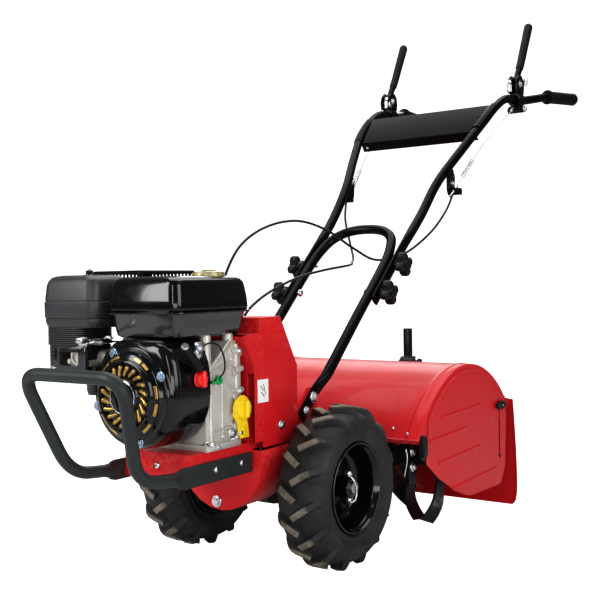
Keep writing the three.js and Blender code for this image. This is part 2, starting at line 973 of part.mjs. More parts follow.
function tines(side) {
  const sleeve = turned(
    "x",
    [
      [12, 36],
      [21, 36],
      [21, 262],
      [12, 262],
      [12, 36],
    ],
    0,
    0,
    12
  );
  const pieces = [sleeve];
  const stations = [
    [58, 1, 45],
    [152, 1, 15],
    [246, -1, 0],
  ];
  for (const [x, hand, start] of stations) {
    pieces.push(bar("x", 55, x - 6, x, 0, 0, 10));
    for (let i = 0; i < 4; i += 1) {
      const flip = i % 2 ? -hand : hand;
      const safe = x > 200 ? -1 : flip;
      pieces.push(tineBlade(x, x < 100 ? 1 : safe).rotate([180 + start + 90 * i, 0, 0]));
    }
  }
  const bore = bar("x", 14.2, 0, 300, 0, 0, 12);
  const all = cut(join(pieces), [bore]).translate([0, TINE_Y, TINE_Z]);
  const name = side > 0 ? "tines_left" : "tines_right";
  return part(name, side > 0 ? all : mirrored(all), paint(BLACK, 0.6, 0.4));
}

// ---- tine hood ----------------------------------------------------------------------
const HOOD_LINE = [
  [155, 295],
  [142, 288],
  [128, 283],
  [114, 280],
  [101, 279],
  [88, 279],
  [75, 279.5],
  [62, 281],
  [49, 284.5],
  [41, 287.5],
  [34, 291],
];

function hoodArc(inset) {
  return HOOD_LINE.map(([degrees, r]) => {
    const t = (degrees * Math.PI) / 180;
    return [HOOD_Y + (r - inset) * Math.cos(t), HOOD_Z + (r - inset) * Math.sin(t)];
  });
}

function tineHood() {
  const outer = hoodArc(0);
  const inner = hoodArc(SHEET).reverse();
  const sheet = plateX([...outer, ...inner], -HOOD_HALF, HOOD_HALF);
  const lip = plateX([[194, 254], [196.5, 256], [206, 245], [204.5, 243.5]], -HOOD_HALF, HOOD_HALF);
  const end = [...hoodArc(0.5), [720, 300], [722, 286], [700, 268], [640, 240], [300, 236], [206, 240]];
  const rod = bar("x", 3, -HOOD_HALF + 1, HOOD_HALF - 1, FLAP_AXIS[0], FLAP_AXIS[1], 10);
  const holes = [box(-13, 13, 677, 693, 250, 340), box(-36, 36, 180, 226, 200, 272)];
  for (const y of [SHIELD_SLOT_Y]) {
    holes.push(bar("x", 4.4, -300, 300, y, 286, 8));
  }
  const left = plateX(end, HOOD_HALF - SHEET, HOOD_HALF);
  return part("tine_hood", cut(join([sheet, lip, left, mirrored(left), rod]), holes), paint(RED, 0.3, 0.1));
}

function sideShield(side) {
  const arc = hoodArc(11).slice(1, 10);
  const outline = [...arc, [700, 262], [690, 120], [656, 84], [430, 86], [300, 140], [228, 196]];
  const panel = plateX(outline, HOOD_HALF + GAP, HOOD_HALF + GAP + SHEET);
  const ribs = [];
  for (const [y, z, length] of [
    [290, 210, 190],
    [300, 262, 230],
    [372, 150, 190],
    [440, 105, 170],
  ]) {
    const rib = box(HOOD_HALF + 2, HOOD_HALF + 4.6, 0, length, -5, 5).rotate([14, 0, 0]);
    ribs.push(rib.translate([0, y, z]));
  }
  const slot = box(280, 300, SHIELD_SLOT_Y - 4.6, SHIELD_SLOT_Y + 4.6, 150, 291);
  const all = cut(join([panel, ...ribs]), [slot]);
  const name = side > 0 ? "side_shield_left" : "side_shield_right";
  return part(name, side > 0 ? all : mirrored(all), paint(RED, 0.3, 0.1));
}

function rearFlap() {
  const front = [
    [724, 282],
    [738, 220],
    [752, 130],
    [757, 60],
    [752, 30],
    [741, 11],
  ];
  const back = front.map(([y, z]) => [y + SHEET, z]).reverse();
  const wide = plateX([...front, ...back], -303, 303);
  const pieces = [wide];
  for (const x of [-200, 0, 200]) {
    pieces.push(bar("x", 6, x - 30, x + 30, FLAP_AXIS[0], FLAP_AXIS[1], 12));
    pieces.push(plateX([[719, 292], [721.6, 296], [726.4, 281], [724, 279]], x - 30, x + 30));
  }
  const rod = bar("x", 3.5, -300, 300, FLAP_AXIS[0], FLAP_AXIS[1], 10);
  return part("rear_flap", cut(join(pieces), [rod]), paint(RED, 0.3, 0.1));
}

function stakeBracket() {
  const outer = box(-18, 18, 672, 698, 280, 404);
  const ears = box(-30, 30, 690, 696, 352, 372);
  const hole = box(-12.6, 12.6, 678.4, 691.6, 200, 500);
  const under = plateX([...hoodArc(-GAP), [700, 200], [200, 200]], -60, 60);
  return part("stake_bracket", cut(join([outer, ears]), [hole, under]), paint(BLACK, 0.5, 0.3));
}

function depthStake() {
  const rod = box(-12, 12, 679, 691, 26, 484);
  const holes = [];
  for (let i = 0; i < 5; i += 1) {
    holes.push(bar("y", 4, 670, 700, 0, 150 + 35 * i, 8));
  }
  return part("depth_stake", cut(rod, holes), paint(BLACK, 0.5, 0.3));
}

// ---- handlebar ----------------------------------------------------------------------
function lowerHandlebar() {
  const path = bentPath(
    [
      [LEG_X, -10, 322],
      [LEG_X, 396, 699],
      [70, 452, 752],
      [-70, 452, 752],
      [-LEG_X, 396, 699],
      [-LEG_X, -10, 322],
    ],
    34,
    3
  );
  const loop = sweep(path, TUBE_R, 10, 10);
  const holes = [bar("x", 4.6, -140, 140, 33, 362, 6)];
  for (const [y, z] of [FOLD, LOCK]) {
    holes.push(bar("x", 4.6, -140, 140, y, z, 6));
  }
  return part("lower_handlebar", cut(loop, holes), paint(BLACK, 0.35, 0.3));
}

const UPPER_TUBE = [
  [UPPER_X, 270, 573],
  [UPPER_X, 340, 637],
  [UPPER_X, 430, 719],
  [UPPER_X + 1, 514, 795],
  [147, 594, 884],
  [176, 690, 982],
  [200, 775, 1062],
  [208, 850, 1118],
  [211, 910, 1146],
  [216, 1000, 1153],
  [233, 1080, 1168],
  [252, 1150, 1182],
  [283, 1284, 1190],
];

function upperHandlebar(side) {
  const tube = sweep(smooth(UPPER_TUBE, 18), TUBE_R, 10, 10);
  const holes = [];
  for (const [y, z] of [FOLD, LOCK]) {
    holes.push(bar("x", 4.6, 120, 160, y, z, 6));
  }
  const name = side > 0 ? "upper_handlebar_left" : "upper_handlebar_right";
  const done = cut(tube, holes);
  return part(name, side > 0 ? done : mirrored(done), paint(BLACK, 0.35, 0.3));
}

// The lower knobs' bolts are the fold's pivots and run through both tubes.
// The upper knobs' bolts stop short of the lower tube, as if drawn back for folding.
function starKnob(name, [y, z], through, side) {
  const inner = through ? LEG_X - 20 : LEG_X + TUBE_R + 2 * GAP;
  const pieces = [
    bar("x", 3.6, inner, 160, y, z, 6),
    bar("x", 9, UPPER_X + TUBE_R + GAP, 158, y, z, 6),
  ];
  if (through) {
    pieces.push(bar("x", 7.5, LEG_X - 24, LEG_X - TUBE_R - GAP, y, z, 6));
  }
  pieces.push(bar("x", 11, 156, 172, y, z, 8));
  for (let i = 0; i < 2; i += 1) {
    const t = Math.PI * i + 0.8;
    pieces.push(bar("x", 9, 157, 170, y + 18 * Math.cos(t), z + 18 * Math.sin(t), 6));
  }
  const all = join(pieces);
  return part(name, side > 0 ? all : mirrored(all), paint(BLACK, 0.5, 0));
}

// Faces up towards the operator; its lower edge is turned back as a lip, and its ends fit the tubes.
function consolePlate() {
  const bent = plateX(
    [
      [838, 1121],
      [746.8, 1036],
      [770, 1013],
      [771.4, 1014.4],
      [750.8, 1035.9],
      [839.4, 1119.6],
    ],
    -190,
    190
  );
  const tube = sweep(smooth(UPPER_TUBE, 18), TUBE_R + GAP, 0, 10);
  const lipEnd = box(176, 200, 740, 780, 1000, 1034);
  const plate = cut(bent, [tube, mirrored(tube), lipEnd, mirrored(lipEnd)]);
  return part("console_plate", plate, paint(BLACK, 0.2, 0.3));
}

function gripBody() {
  const from = new THREE.Vector3(254, 1158, 1183);
  const to = new THREE.Vector3(285, 1292, 1190.5);
  const outer = sweep(straight(from, to), 16, 0, 8);
  const flare = to.clone().sub(from).normalize();
  const collarEnd = from.clone().addScaledVector(flare, 7);
  const collar = sweep(straight(from, collarEnd), 19, 0, 8);
  return join([outer, collar]);
}

function gripPart(side) {
  const body = gripBody();
  const bore = smooth([
    [246, 1128, 1178],
    [252, 1150, 1182],
    [283, 1284, 1190],
    [283.4, 1286, 1190.1],
  ], 3);
  const hole = sweep(bore, TUBE_R + 1.6, 0, 10);
  const made = cut(body, [hole]);
  const name = side > 0 ? "grip_left" : "grip_right";
  return part(name, side > 0 ? made : mirrored(made), paint(0x141414, 0.9, 0));
}

function leverMount(side) {
  const bore = bar("y", 15.8, 940, 1030, 215.2, 1152.4, 12);
  const clamp = cut(box(195, 236, 964, 1002, 1131, 1174), [bore, box(190, 216, 950, 1010, 1151, 1153.5)]);
  const post = box(204.5, 227.5, 962, 990, 1171, 1186);
  const cheeks = [box(204.5, 207.5, 962, 990, 1184, 1208), box(224.5, 227.5, 962, 990, 1184, 1208)];
  const pin = bar("x", 4, 206, 226, 976, 1197, 8);
  const all = join([clamp, post, ...cheeks, pin]);
  const name = side > 0 ? "lever_mount_left" : "lever_mount_right";
  return part(name, side > 0 ? all : mirrored(all), paint(BLACK, 0.3, 0.4));
}

function clutchLever(side) {
  const eye = cut(bar("x", 9, 209.6, 222.4, 976, 1197, 14), [bar("x", 4.5, 200, 230, 976, 1197, 10)]);
  const rod = sweep(
    smooth([
      [216, 978, 1204],
      [216, 990, 1226],
      [216, 1017, 1262],
      [216, 1050, 1328],
      [216, 1086, 1400],
    ], 5),
    8.2,
    0,
    10
  );
  const horn = plateX([[968, 1197], [972, 1204], [952, 1216], [948, 1210]], 213, 219);
  const bore = bar("x", 4.5, 200, 230, 976, 1197, 10);
  const all = cut(join([eye, rod, horn]), [bore]);
  const name = side > 0 ? "clutch_lever_left" : "clutch_lever_right";
  return part(name, side > 0 ? all : mirrored(all), paint(BLACK, 0.5, 0.2));
}

function clutchCable(side) {
  // From the stay on the handlebar, under the arch and over to the back of the engine.
  const left = [
    [172, 640, 862],
    [184, 560, 800],
    [165, 500, 740],
    [110, 462, 690],
    [60, 410, 676],
    [38, 330, 706],
    [20, 240, 748],
    [2, 140, 768],
    [-12, 30, 750],
    [-16, -60, 706],
    [-14, -112, 650],
    [-14, -134, 600],
    [-14, -137, 552.5],
  ];
  const right = [
    [-172, 640, 862],
    [-184, 560, 800],
    [-160, 500, 735],
    [-100, 462, 690],
    [-30, 420, 672],
    [16, 340, 662],
    [22, 220, 650],
    [26, 120, 636],
    [34, 20, 614],
    [42, -60, 590],
    [46, -112, 566],
    [47, -130, 552.5],
  ];
  const path = smooth(side > 0 ? left : right, 44);
  const name = side > 0 ? "clutch_cable_left" : "clutch_cable_right";
  return part(name, sweep(path, 3, 0, 8), paint(0x101010, 0.6, 0));
}

// ---- assembly -----------------------------------------------------------------------
const machine = new THREE.Group();
machine.add(
  chassisFrame(),
  transmissionCase(),
  beltCover(),
  bumperGuard(),
  engineBlock(),
  crankcaseCover(),
  cylinderHead(),
  fanCover(),
  recoilCover(),
  airScreen(),
  starterHandle(),
  crankshaft(),
  flywheel(),
  vPulley("crank_pulley", CRANK_PULLEY_R, CRANK_Z),
  vPulley("driven_pulley", DRIVE_PULLEY_R, SHAFT_Z),
  driveBelt(),
  idlerArm(),
  fuelTank(),
  fuelCap(),
  airCleanerCover(),
  airCleanerBase(),
  carburettor(),
  throttleLever(),
  muffler(),
  mufflerGuard(),
  ignitionSwitch(),
  oilDipstick(),
  gearcase(),
  driveShaft(),
  wheelAxle(),
  tineGearcase(),
  tineShaft(),
  tineHood(),
  rearFlap(),
  stakeBracket(),
  depthStake(),
  lowerHandlebar(),
  consolePlate()
);
for (const side of [1, -1]) {
  const end = side > 0 ? "left" : "right";
  machine.add(
    starKnob("lower_knob_" + end, FOLD, true, side),
    starKnob("upper_knob_" + end, LOCK, false, side),
    wheelRim(side),
    tyre(side),
    tines(side),
    sideShield(side),
    upperHandlebar(side),
    gripPart(side),
    leverMount(side),
    clutchLever(side),
    clutchCable(side)
  );
}

machine.updateMatrixWorld(true);
const around = new THREE.Box3().setFromObject(machine);
machine.position.set(0, -(around.min.y + around.max.y) / 2, -around.min.z);

const tiller = new THREE.Group();
tiller.name = "tiller";
tiller.add(machine);

export default tiller;
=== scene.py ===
from math import copysign, cos, pi, radians, sin

import bmesh
import bpy
from mathutils import Matrix, Vector


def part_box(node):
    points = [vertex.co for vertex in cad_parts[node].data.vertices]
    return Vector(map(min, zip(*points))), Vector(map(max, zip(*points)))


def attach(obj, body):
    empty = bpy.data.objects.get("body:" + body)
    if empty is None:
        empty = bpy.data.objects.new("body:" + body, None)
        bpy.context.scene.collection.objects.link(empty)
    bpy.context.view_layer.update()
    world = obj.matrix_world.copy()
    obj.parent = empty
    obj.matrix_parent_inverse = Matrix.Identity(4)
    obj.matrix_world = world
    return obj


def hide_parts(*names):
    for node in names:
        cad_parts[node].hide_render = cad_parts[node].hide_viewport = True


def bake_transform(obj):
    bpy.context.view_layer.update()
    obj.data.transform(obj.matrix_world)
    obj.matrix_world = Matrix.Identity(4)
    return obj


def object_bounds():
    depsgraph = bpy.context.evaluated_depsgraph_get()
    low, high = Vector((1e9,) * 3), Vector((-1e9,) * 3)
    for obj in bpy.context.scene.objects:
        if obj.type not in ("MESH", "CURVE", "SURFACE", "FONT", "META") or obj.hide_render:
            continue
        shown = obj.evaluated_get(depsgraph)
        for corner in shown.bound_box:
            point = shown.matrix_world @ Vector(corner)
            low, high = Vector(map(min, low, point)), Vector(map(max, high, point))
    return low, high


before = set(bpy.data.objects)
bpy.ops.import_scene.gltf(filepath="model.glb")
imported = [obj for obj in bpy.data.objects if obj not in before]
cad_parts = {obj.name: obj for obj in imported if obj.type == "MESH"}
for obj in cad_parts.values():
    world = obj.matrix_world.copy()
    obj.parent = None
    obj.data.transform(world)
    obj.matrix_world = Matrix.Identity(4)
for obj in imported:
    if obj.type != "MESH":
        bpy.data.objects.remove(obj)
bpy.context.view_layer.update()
scene = bpy.context.scene

# Places below are in millimetres from the point on the ground under the wheel axle.
AXLE_Z = 178
low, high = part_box("wheel_axle")
ORIGIN = Vector((0, (low.y + high.y) / 2, (low.z + high.z) / 2 - AXLE_Z / 1000))
TO_ROW = Matrix.Translation(ORIGIN) @ Matrix.Scale(0.001, 4)
SIDES = ((1, "left"), (-1, "right"))
X, Y, Z = (1, 0, 0), (0, 1, 0), (0, 0, 1)


# ---- camera and studio --------------------------------------------------------------
def make_camera():
    """A low three-quarter view from the front left, with a slight roll."""
    azimuth, pitch, roll = radians(34.76), radians(1.10), radians(-0.90)
    back = Vector((sin(azimuth) * cos(pitch), -cos(azimuth) * cos(pitch), sin(pitch)))
    right = Vector((cos(azimuth), sin(azimuth), 0))
    up = back.cross(right)
    turned_right = right * cos(roll) + up * sin(roll)
    turned_up = up * cos(roll) - right * sin(roll)
    data = bpy.data.cameras.new("camera")
    data.lens, data.sensor_width = 57.78, 36
    data.clip_start, data.clip_end = 0.05, 100
    camera = bpy.data.objects.new("camera", data)
    scene.collection.objects.link(camera)
    axes = Matrix((turned_right, turned_up, back)).transposed().to_4x4()
    camera.matrix_world = Matrix.Translation(ORIGIN + Vector((1.320, -1.756, 0.623))) @ axes
    scene.camera = camera


def area_light(name, place, target, size, power):
    data = bpy.data.lights.new(name, "AREA")
    data.shape = "RECTANGLE"
    data.size, data.size_y = size
    data.energy = power
    light = bpy.data.objects.new(name, data)
    scene.collection.objects.link(light)
    light.location = place
    light.rotation_mode = "QUATERNION"
    light.rotation_quaternion = (Vector(target) - Vector(place)).to_track_quat("-Z", "Y")


def make_studio():
    world = bpy.data.worlds.new("studio")
    scene.world = world
    world.use_nodes = True
    nodes, links = world.node_tree.nodes, world.node_tree.links
    soft = nodes["Background"]
    soft.inputs["Color"].default_value = (0.97, 0.98, 1.0, 1)
    soft.inputs["Strength"].default_value = 0.13
    white = nodes.new("ShaderNodeBackground")
    white.inputs["Color"].default_value = (1, 1, 1, 1)
    white.inputs["Strength"].default_value = 1.05
    seen = nodes.new("ShaderNodeLightPath")
    mix = nodes.new("ShaderNodeMixShader")
    links.new(seen.outputs["Is Camera Ray"], mix.inputs[0])
    links.new(soft.outputs[0], mix.inputs[1])
    links.new(white.outputs[0], mix.inputs[2])
    links.new(mix.outputs[0], nodes["World Output"].inputs["Surface"])
    area_light("overhead", (-0.3, 0.5, 3.3), (0, 0, 0.3), (3.4, 3.0), 98)
    area_light("front_left", (-1.7, -3.2, 2.0), (0, -0.3, 0.5), (1.2, 2.2), 74)
    area_light("right", (3.1, -1.0, 1.5), (0, 0.1, 0.4), (1.6, 2.2), 46)
    area_light("strip", (0.9, -3.3, 1.5), (0, -0.5, 0.5), (0.22, 1.8), 13)
    area_light("low_front", (1.9, -2.7, 0.5), (0, 0.4, 0.2), (1.6, 0.6), 16)
    area_light("behind", (-1.8, 3.0, 2.2), (0, 0, 0.5), (2.0, 1.6), 30)
    floor = bpy.data.meshes.new("floor")
    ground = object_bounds()[0].z
    reach = 40.0
    floor.from_pydata([(-reach, -reach, ground), (reach, -reach, ground), (reach, reach, ground),
                       (-reach, reach, ground)], [], [(0, 1, 2, 3)])
    plane = bpy.data.objects.new("studio_floor", floor)
    scene.collection.objects.link(plane)
    pale = bpy.data.materials.new("pale_floor")
    pale.use_nodes = True
    shader = pale.node_tree.nodes["Principled BSDF"]
    shader.inputs["Base Color"].default_value = (0.6, 0.6, 0.6, 1)
    shader.inputs["Roughness"].default_value = 0.75
    shader.inputs["Specular IOR Level"].default_value = 0.2
    shader.inputs["Emission Color"].default_value = (1, 1, 1, 1)
    seen = pale.node_tree.nodes.new("ShaderNodeLightPath")
    lift = pale.node_tree.nodes.new("ShaderNodeMath")
    lift.operation = "MULTIPLY"
    lift.inputs[1].default_value = 0.92
    pale.node_tree.links.new(seen.outputs["Is Camera Ray"], lift.inputs[0])
    pale.node_tree.links.new(lift.outputs[0], shader.inputs["Emission Strength"])
    floor.materials.append(pale)
    scene.view_settings.view_transform = "Standard"
    scene.view_settings.look = "Medium High Contrast"


make_camera()
make_studio()


# ---- materials ----------------------------------------------------------------------
def shade(color, k):
    return tuple(min(1, c * k) for c in color) + (1,)


def node_kit(name):
    m = bpy.data.materials.new(name)
    m.use_nodes = True
    tree = m.node_tree
    coords = tree.nodes.new("ShaderNodeTexCoord")
    return m, tree, tree.nodes["Principled BSDF"], coords


def noise(tree, coords, scale, detail=4.0, rough=0.55, stretch=None):
    n = tree.nodes.new("ShaderNodeTexNoise")
    n.inputs["Scale"].default_value = scale
    n.inputs["Detail"].default_value = detail
    n.inputs["Roughness"].default_value = rough
    source = coords.outputs["Object"]
    if stretch:
        squeeze = tree.nodes.new("ShaderNodeMapping")
        squeeze.inputs["Scale"].default_value = stretch
        tree.links.new(source, squeeze.inputs["Vector"])
        source = squeeze.outputs["Vector"]
    tree.links.new(source, n.inputs["Vector"])
    return n.outputs["Fac"]


def spread(tree, value, low_in, high_in, low_out, high_out):
    r = tree.nodes.new("ShaderNodeMapRange")
    for socket, v in zip(("From Min", "From Max", "To Min", "To Max"), (low_in, high_in, low_out, high_out)):
        r.inputs[socket].default_value = v
    tree.links.new(value, r.inputs["Value"])
    return r.outputs["Result"]


def blend_colors(tree, factor, a, b):
    mix = tree.nodes.new("ShaderNodeMix")
    mix.data_type = "RGBA"
    tree.links.new(factor, mix.inputs[0])
    for socket, value in ((mix.inputs[6], a), (mix.inputs[7], b)):
        if isinstance(value, tuple):
            socket.default_value = value
        else:
            tree.links.new(value, socket)
    return mix.outputs[2]


def product(tree, a, b):
    node = tree.nodes.new("ShaderNodeMath")
    node.operation = "MULTIPLY"
    tree.links.new(a, node.inputs[0])
    tree.links.new(b, node.inputs[1])
    return node.outputs[0]


def surface(name, color, rough, metal=0.0, coat=0.0, mottle=0.1, patch=9.0, grain=0.1, size=700.0,
            rough_by=0.06, dust=0.0, dust_color=(0.30, 0.26, 0.21), wear=0.0, wear_color=(0.5, 0.5, 0.5),
            cells=False, depth=0.0004, specular=0.5):
    """A material with mottled colour, uneven gloss, surface grain, settled dust and rubbed edges."""
    m, tree, bsdf, coords = node_kit(name)
    mottled = spread(tree, noise(tree, coords, patch, 5), 0.3, 0.7, 0, 1)
    out = blend_colors(tree, mottled, shade(color, 1 - mottle), shade(color, 1 + mottle))
    if wear:
        geometry = tree.nodes.new("ShaderNodeNewGeometry")
        edge = spread(tree, geometry.outputs["Pointiness"], 0.53, 0.6, 0, wear)
        broken = spread(tree, noise(tree, coords, 90), 0.42, 0.6, 0, 1)
        out = blend_colors(tree, product(tree, edge, broken), out, wear_color + (1,))
    if dust:
        up = tree.nodes.new("ShaderNodeSeparateXYZ")
        tree.links.new(coords.outputs["Normal"], up.inputs[0])
        lying = spread(tree, up.outputs["Z"], 0.2, 1.0, 0, dust)
        drift = spread(tree, noise(tree, coords, 26, 6), 0.35, 0.7, 0.1, 1)
        out = blend_colors(tree, product(tree, lying, drift), out, dust_color + (1,))
    tree.links.new(out, bsdf.inputs["Base Color"])
    gloss = noise(tree, coords, 34, 6)
    tree.links.new(spread(tree, gloss, 0.25, 0.75, max(rough - rough_by, 0.02), rough + rough_by),
                   bsdf.inputs["Roughness"])
    bsdf.inputs["Metallic"].default_value = metal
    bsdf.inputs["Specular IOR Level"].default_value = specular
    bsdf.inputs["Coat Weight"].default_value = coat
    bsdf.inputs["Coat Roughness"].default_value = 0.05
    if grain:
        if cells:
            v = tree.nodes.new("ShaderNodeTexVoronoi")
            v.inputs["Scale"].default_value = size
            tree.links.new(coords.outputs["Object"], v.inputs["Vector"])
            height = v.outputs["Distance"]
        else:
            height = noise(tree, coords, size, 3)
        bump = tree.nodes.new("ShaderNodeBump")
        bump.inputs["Strength"].default_value = grain
        bump.inputs["Distance"].default_value = depth
        tree.links.new(height, bump.inputs["Height"])
        tree.links.new(bump.outputs["Normal"], bsdf.inputs["Normal"])
    return m


def tyre_rubber():
    """Black rubber, dusty brown on the tread bars' tops and scuffed along the sidewall."""
    m, tree, bsdf, coords = node_kit("tyre_rubber")
    place = tree.nodes.new("ShaderNodeSeparateXYZ")
    tree.links.new(coords.outputs["Object"], place.inputs[0])
    flat = tree.nodes.new("ShaderNodeCombineXYZ")
    for axis, middle in (("Y", ORIGIN.y), ("Z", ORIGIN.z + AXLE_Z / 1000)):
        shift = tree.nodes.new("ShaderNodeMath")
        shift.operation = "SUBTRACT"
        shift.inputs[1].default_value = middle
        tree.links.new(place.outputs[axis], shift.inputs[0])
        tree.links.new(shift.outputs[0], flat.inputs[axis])
    radius = tree.nodes.new("ShaderNodeVectorMath")
    radius.operation = "LENGTH"
    tree.links.new(flat.outputs[0], radius.inputs[0])
    tops = spread(tree, radius.outputs["Value"], 0.172, 0.1765, 0, 0.9)
    speckle = spread(tree, noise(tree, coords, 55, 6, 0.65), 0.3, 0.62, 0.25, 1)
    body = blend_colors(tree, spread(tree, noise(tree, coords, 14, 6), 0.3, 0.7, 0, 1),
                        (0.010, 0.0105, 0.0125, 1), (0.024, 0.024, 0.026, 1))
    film = spread(tree, noise(tree, coords, 22, 7, 0.7), 0.45, 0.75, 0, 0.32)
    body = blend_colors(tree, film, body, (0.085, 0.078, 0.068, 1))
    out = blend_colors(tree, product(tree, tops, speckle), body, (0.24, 0.205, 0.16, 1))
    tree.links.new(out, bsdf.inputs["Base Color"])
    tree.links.new(spread(tree, noise(tree, coords, 30), 0.3, 0.7, 0.5, 0.72), bsdf.inputs["Roughness"])
    bsdf.inputs["Specular IOR Level"].default_value = 0.3
    bump = tree.nodes.new("ShaderNodeBump")
    bump.inputs["Strength"].default_value = 0.3
    bump.inputs["Distance"].default_value = 0.0005
    tree.links.new(noise(tree, coords, 420, 5, 0.65), bump.inputs["Height"])
    tree.links.new(bump.outputs["Normal"], bsdf.inputs["Normal"])
    return m


RED = surface("red_enamel", (0.545, 0.013, 0.018), 0.37, coat=0.08, mottle=0.045, patch=5, grain=0.08, size=260,
              rough_by=0.05, dust=0.03, wear=0.35, wear_color=(0.7, 0.12, 0.11), depth=0.0003, specular=0.18)
GLOSS = surface("black_enamel", (0.003, 0.003, 0.0038), 0.14, coat=0.3, mottle=0.25, grain=0.05, size=300,
                dust=0.01, wear=0.1, wear_color=(0.1, 0.1, 0.1), depth=0.0003, specular=0.3)
TUBE = surface("black_tube_paint", (0.0035, 0.0035, 0.004), 0.28, coat=0.05, mottle=0.25, grain=0.06, size=500,
               dust=0.0, wear=0.1, wear_color=(0.06, 0.06, 0.06), specular=0.07)
PANEL = surface("console_paint", (0.003, 0.003, 0.0034), 0.2, mottle=0.25, grain=0.05, size=400, specular=0.05)
SLATE = surface("powder_coat", (0.024, 0.028, 0.028), 0.45, mottle=0.12, grain=0.35, size=1500, dust=0.04,
                wear=0.2, wear_color=(0.1, 0.1, 0.1), depth=0.0002, specular=0.3)
CASE = surface("filter_plastic", (0.026, 0.028, 0.031), 0.42, mottle=0.14, grain=0.3, size=1300, cells=True,
               dust=0.08, depth=0.00025)
# The tank's lower shell is a lighter grey than the black enamel above: a painted reflection of the pale floor.
TANK_LOW_PAINTED_REFLECTION = surface("tank_underside_painted_reflection", (0.014, 0.014, 0.017), 0.26, coat=0.7, mottle=0.2, grain=0.06, size=300)
PLASTIC = surface("moulded_plastic", (0.008, 0.0082, 0.009), 0.42, specular=0.2, mottle=0.2, grain=0.3, size=1100,
                  cells=True,
                  dust=0.04, depth=0.0002)
RUBBER = surface("grip_rubber", (0.006, 0.006, 0.0065), 0.6, specular=0.15, mottle=0.25, grain=0.45, size=900,
                 dust=0.03)
ALLOY = surface("die_cast_alloy", (0.56, 0.535, 0.49), 0.46, metal=0.55, mottle=0.1, patch=24, grain=0.55,
                size=620, rough_by=0.09, dust=0.12, wear=0.5, wear_color=(0.78, 0.77, 0.74), depth=0.0005)
ZINC = surface("zinc_plate", (0.66, 0.67, 0.69), 0.25, metal=1.0, mottle=0.1, patch=60, grain=0.12, size=900,
               rough_by=0.1)
BLUE_ZINC = surface("passivated_bolt", (0.42, 0.52, 0.66), 0.27, metal=1.0, mottle=0.14, patch=90, grain=0.12,
                    size=900, rough_by=0.1)
STEEL = surface("turned_steel", (0.42, 0.42, 0.42), 0.34, metal=1.0, mottle=0.16, patch=40, grain=0.25, size=700,
                rough_by=0.1)
GOLD = surface("gold_plate", (0.50, 0.33, 0.10), 0.3, metal=0.9, mottle=0.2, patch=45, grain=0.18, size=600,
               rough_by=0.1)
CAP_GOLD = surface("cap_plate", (0.36, 0.32, 0.17), 0.38, metal=0.5, mottle=0.12, patch=60, grain=0.2, size=800)
IRON = surface("cast_iron_paint", (0.012, 0.012, 0.013), 0.5, mottle=0.25, grain=0.8, size=420, dust=0.12,
               wear=0.3, wear_color=(0.1, 0.1, 0.1), depth=0.0007)
BLADE = surface("tine_steel", (0.012, 0.0125, 0.015), 0.42, metal=0.1, specular=0.3, mottle=0.3, patch=30, grain=0.5,
                size=330,
                dust=0.1, wear=0.5, wear_color=(0.25, 0.25, 0.27), depth=0.0006)
YELLOW = surface("yellow_plastic", (0.86, 0.60, 0.008), 0.32, mottle=0.07, patch=50, grain=0.12, size=800, coat=0.3)
SWITCH_RED = surface("red_plastic", (0.78, 0.012, 0.014), 0.28, mottle=0.06, patch=60, grain=0.1, size=800, coat=0.4)
GREEN = surface("green_sleeve", (0.01, 0.32, 0.09), 0.4, mottle=0.12, patch=80, grain=0.2, size=900)
BELT = surface("belt_rubber", (0.018, 0.018, 0.018), 0.8, mottle=0.3, patch=60, grain=0.6, size=500)
LABEL = surface("white_label", (0.84, 0.84, 0.83), 0.35, mottle=0.03, patch=80, grain=0.1, size=900, coat=0.4)
INK = surface("black_ink", (0.02, 0.02, 0.02), 0.4, mottle=0.3, patch=90, grain=0.1, size=900)
TYRE = tyre_rubber()


# ---- paths --------------------------------------------------------------------------
def resample(points, steps):
    """The same path as steps + 1 points, evenly spaced."""
    lengths = [0.0]
    for a, b in zip(points, points[1:]):
        lengths.append(lengths[-1] + (b - a).length)
    out, i = [], 0
    for k in range(steps + 1):
        want = lengths[-1] * k / steps
        while i < len(points) - 2 and lengths[i + 1] < want:
            i += 1
        span = lengths[i + 1] - lengths[i]
        out.append(points[i].lerp(points[i + 1], (want - lengths[i]) / span if span else 0))
    return out


def spline(points, steps):
    """A smooth path through the points."""
    p = [Vector(q) for q in points]
    ends = [2 * p[0] - p[1]] + p + [2 * p[-1] - p[-2]]
    dense = []
    for a, b, c, d in zip(ends, ends[1:], ends[2:], ends[3:]):
        t1 = max((b - a).length, 1e-6) ** 0.5
        t2 = t1 + max((c - b).length, 1e-6) ** 0.5
        t3 = t2 + max((d - c).length, 1e-6) ** 0.5
        for k in range(24):
            t = t1 + (t2 - t1) * k / 24
            a1 = a.lerp(b, t / t1)
            a2 = b.lerp(c, (t - t1) / (t2 - t1))
            a3 = c.lerp(d, (t - t2) / (t3 - t2))
            b1 = a1.lerp(a2, t / t2)
            b2 = a2.lerp(a3, (t - t1) / (t3 - t1))
            dense.append(b1.lerp(b2, (t - t1) / (t2 - t1)))
    return resample(dense + [p[-1]], steps)


def bent(points, reach, steps):
    """Straight runs with a rounded corner of the given reach at each inner point."""
    p = [Vector(q) for q in points]
    out = [p[0]]
    for before, here, after in zip(p, p[1:], p[2:]):
        start = here + (before - here).normalized() * reach
        end = here + (after - here).normalized() * reach
        for k in range(steps + 1):
            t = k / steps
            out.append(start * (1 - t) ** 2 + here * 2 * t * (1 - t) + end * t * t)
    return out + [p[-1]]


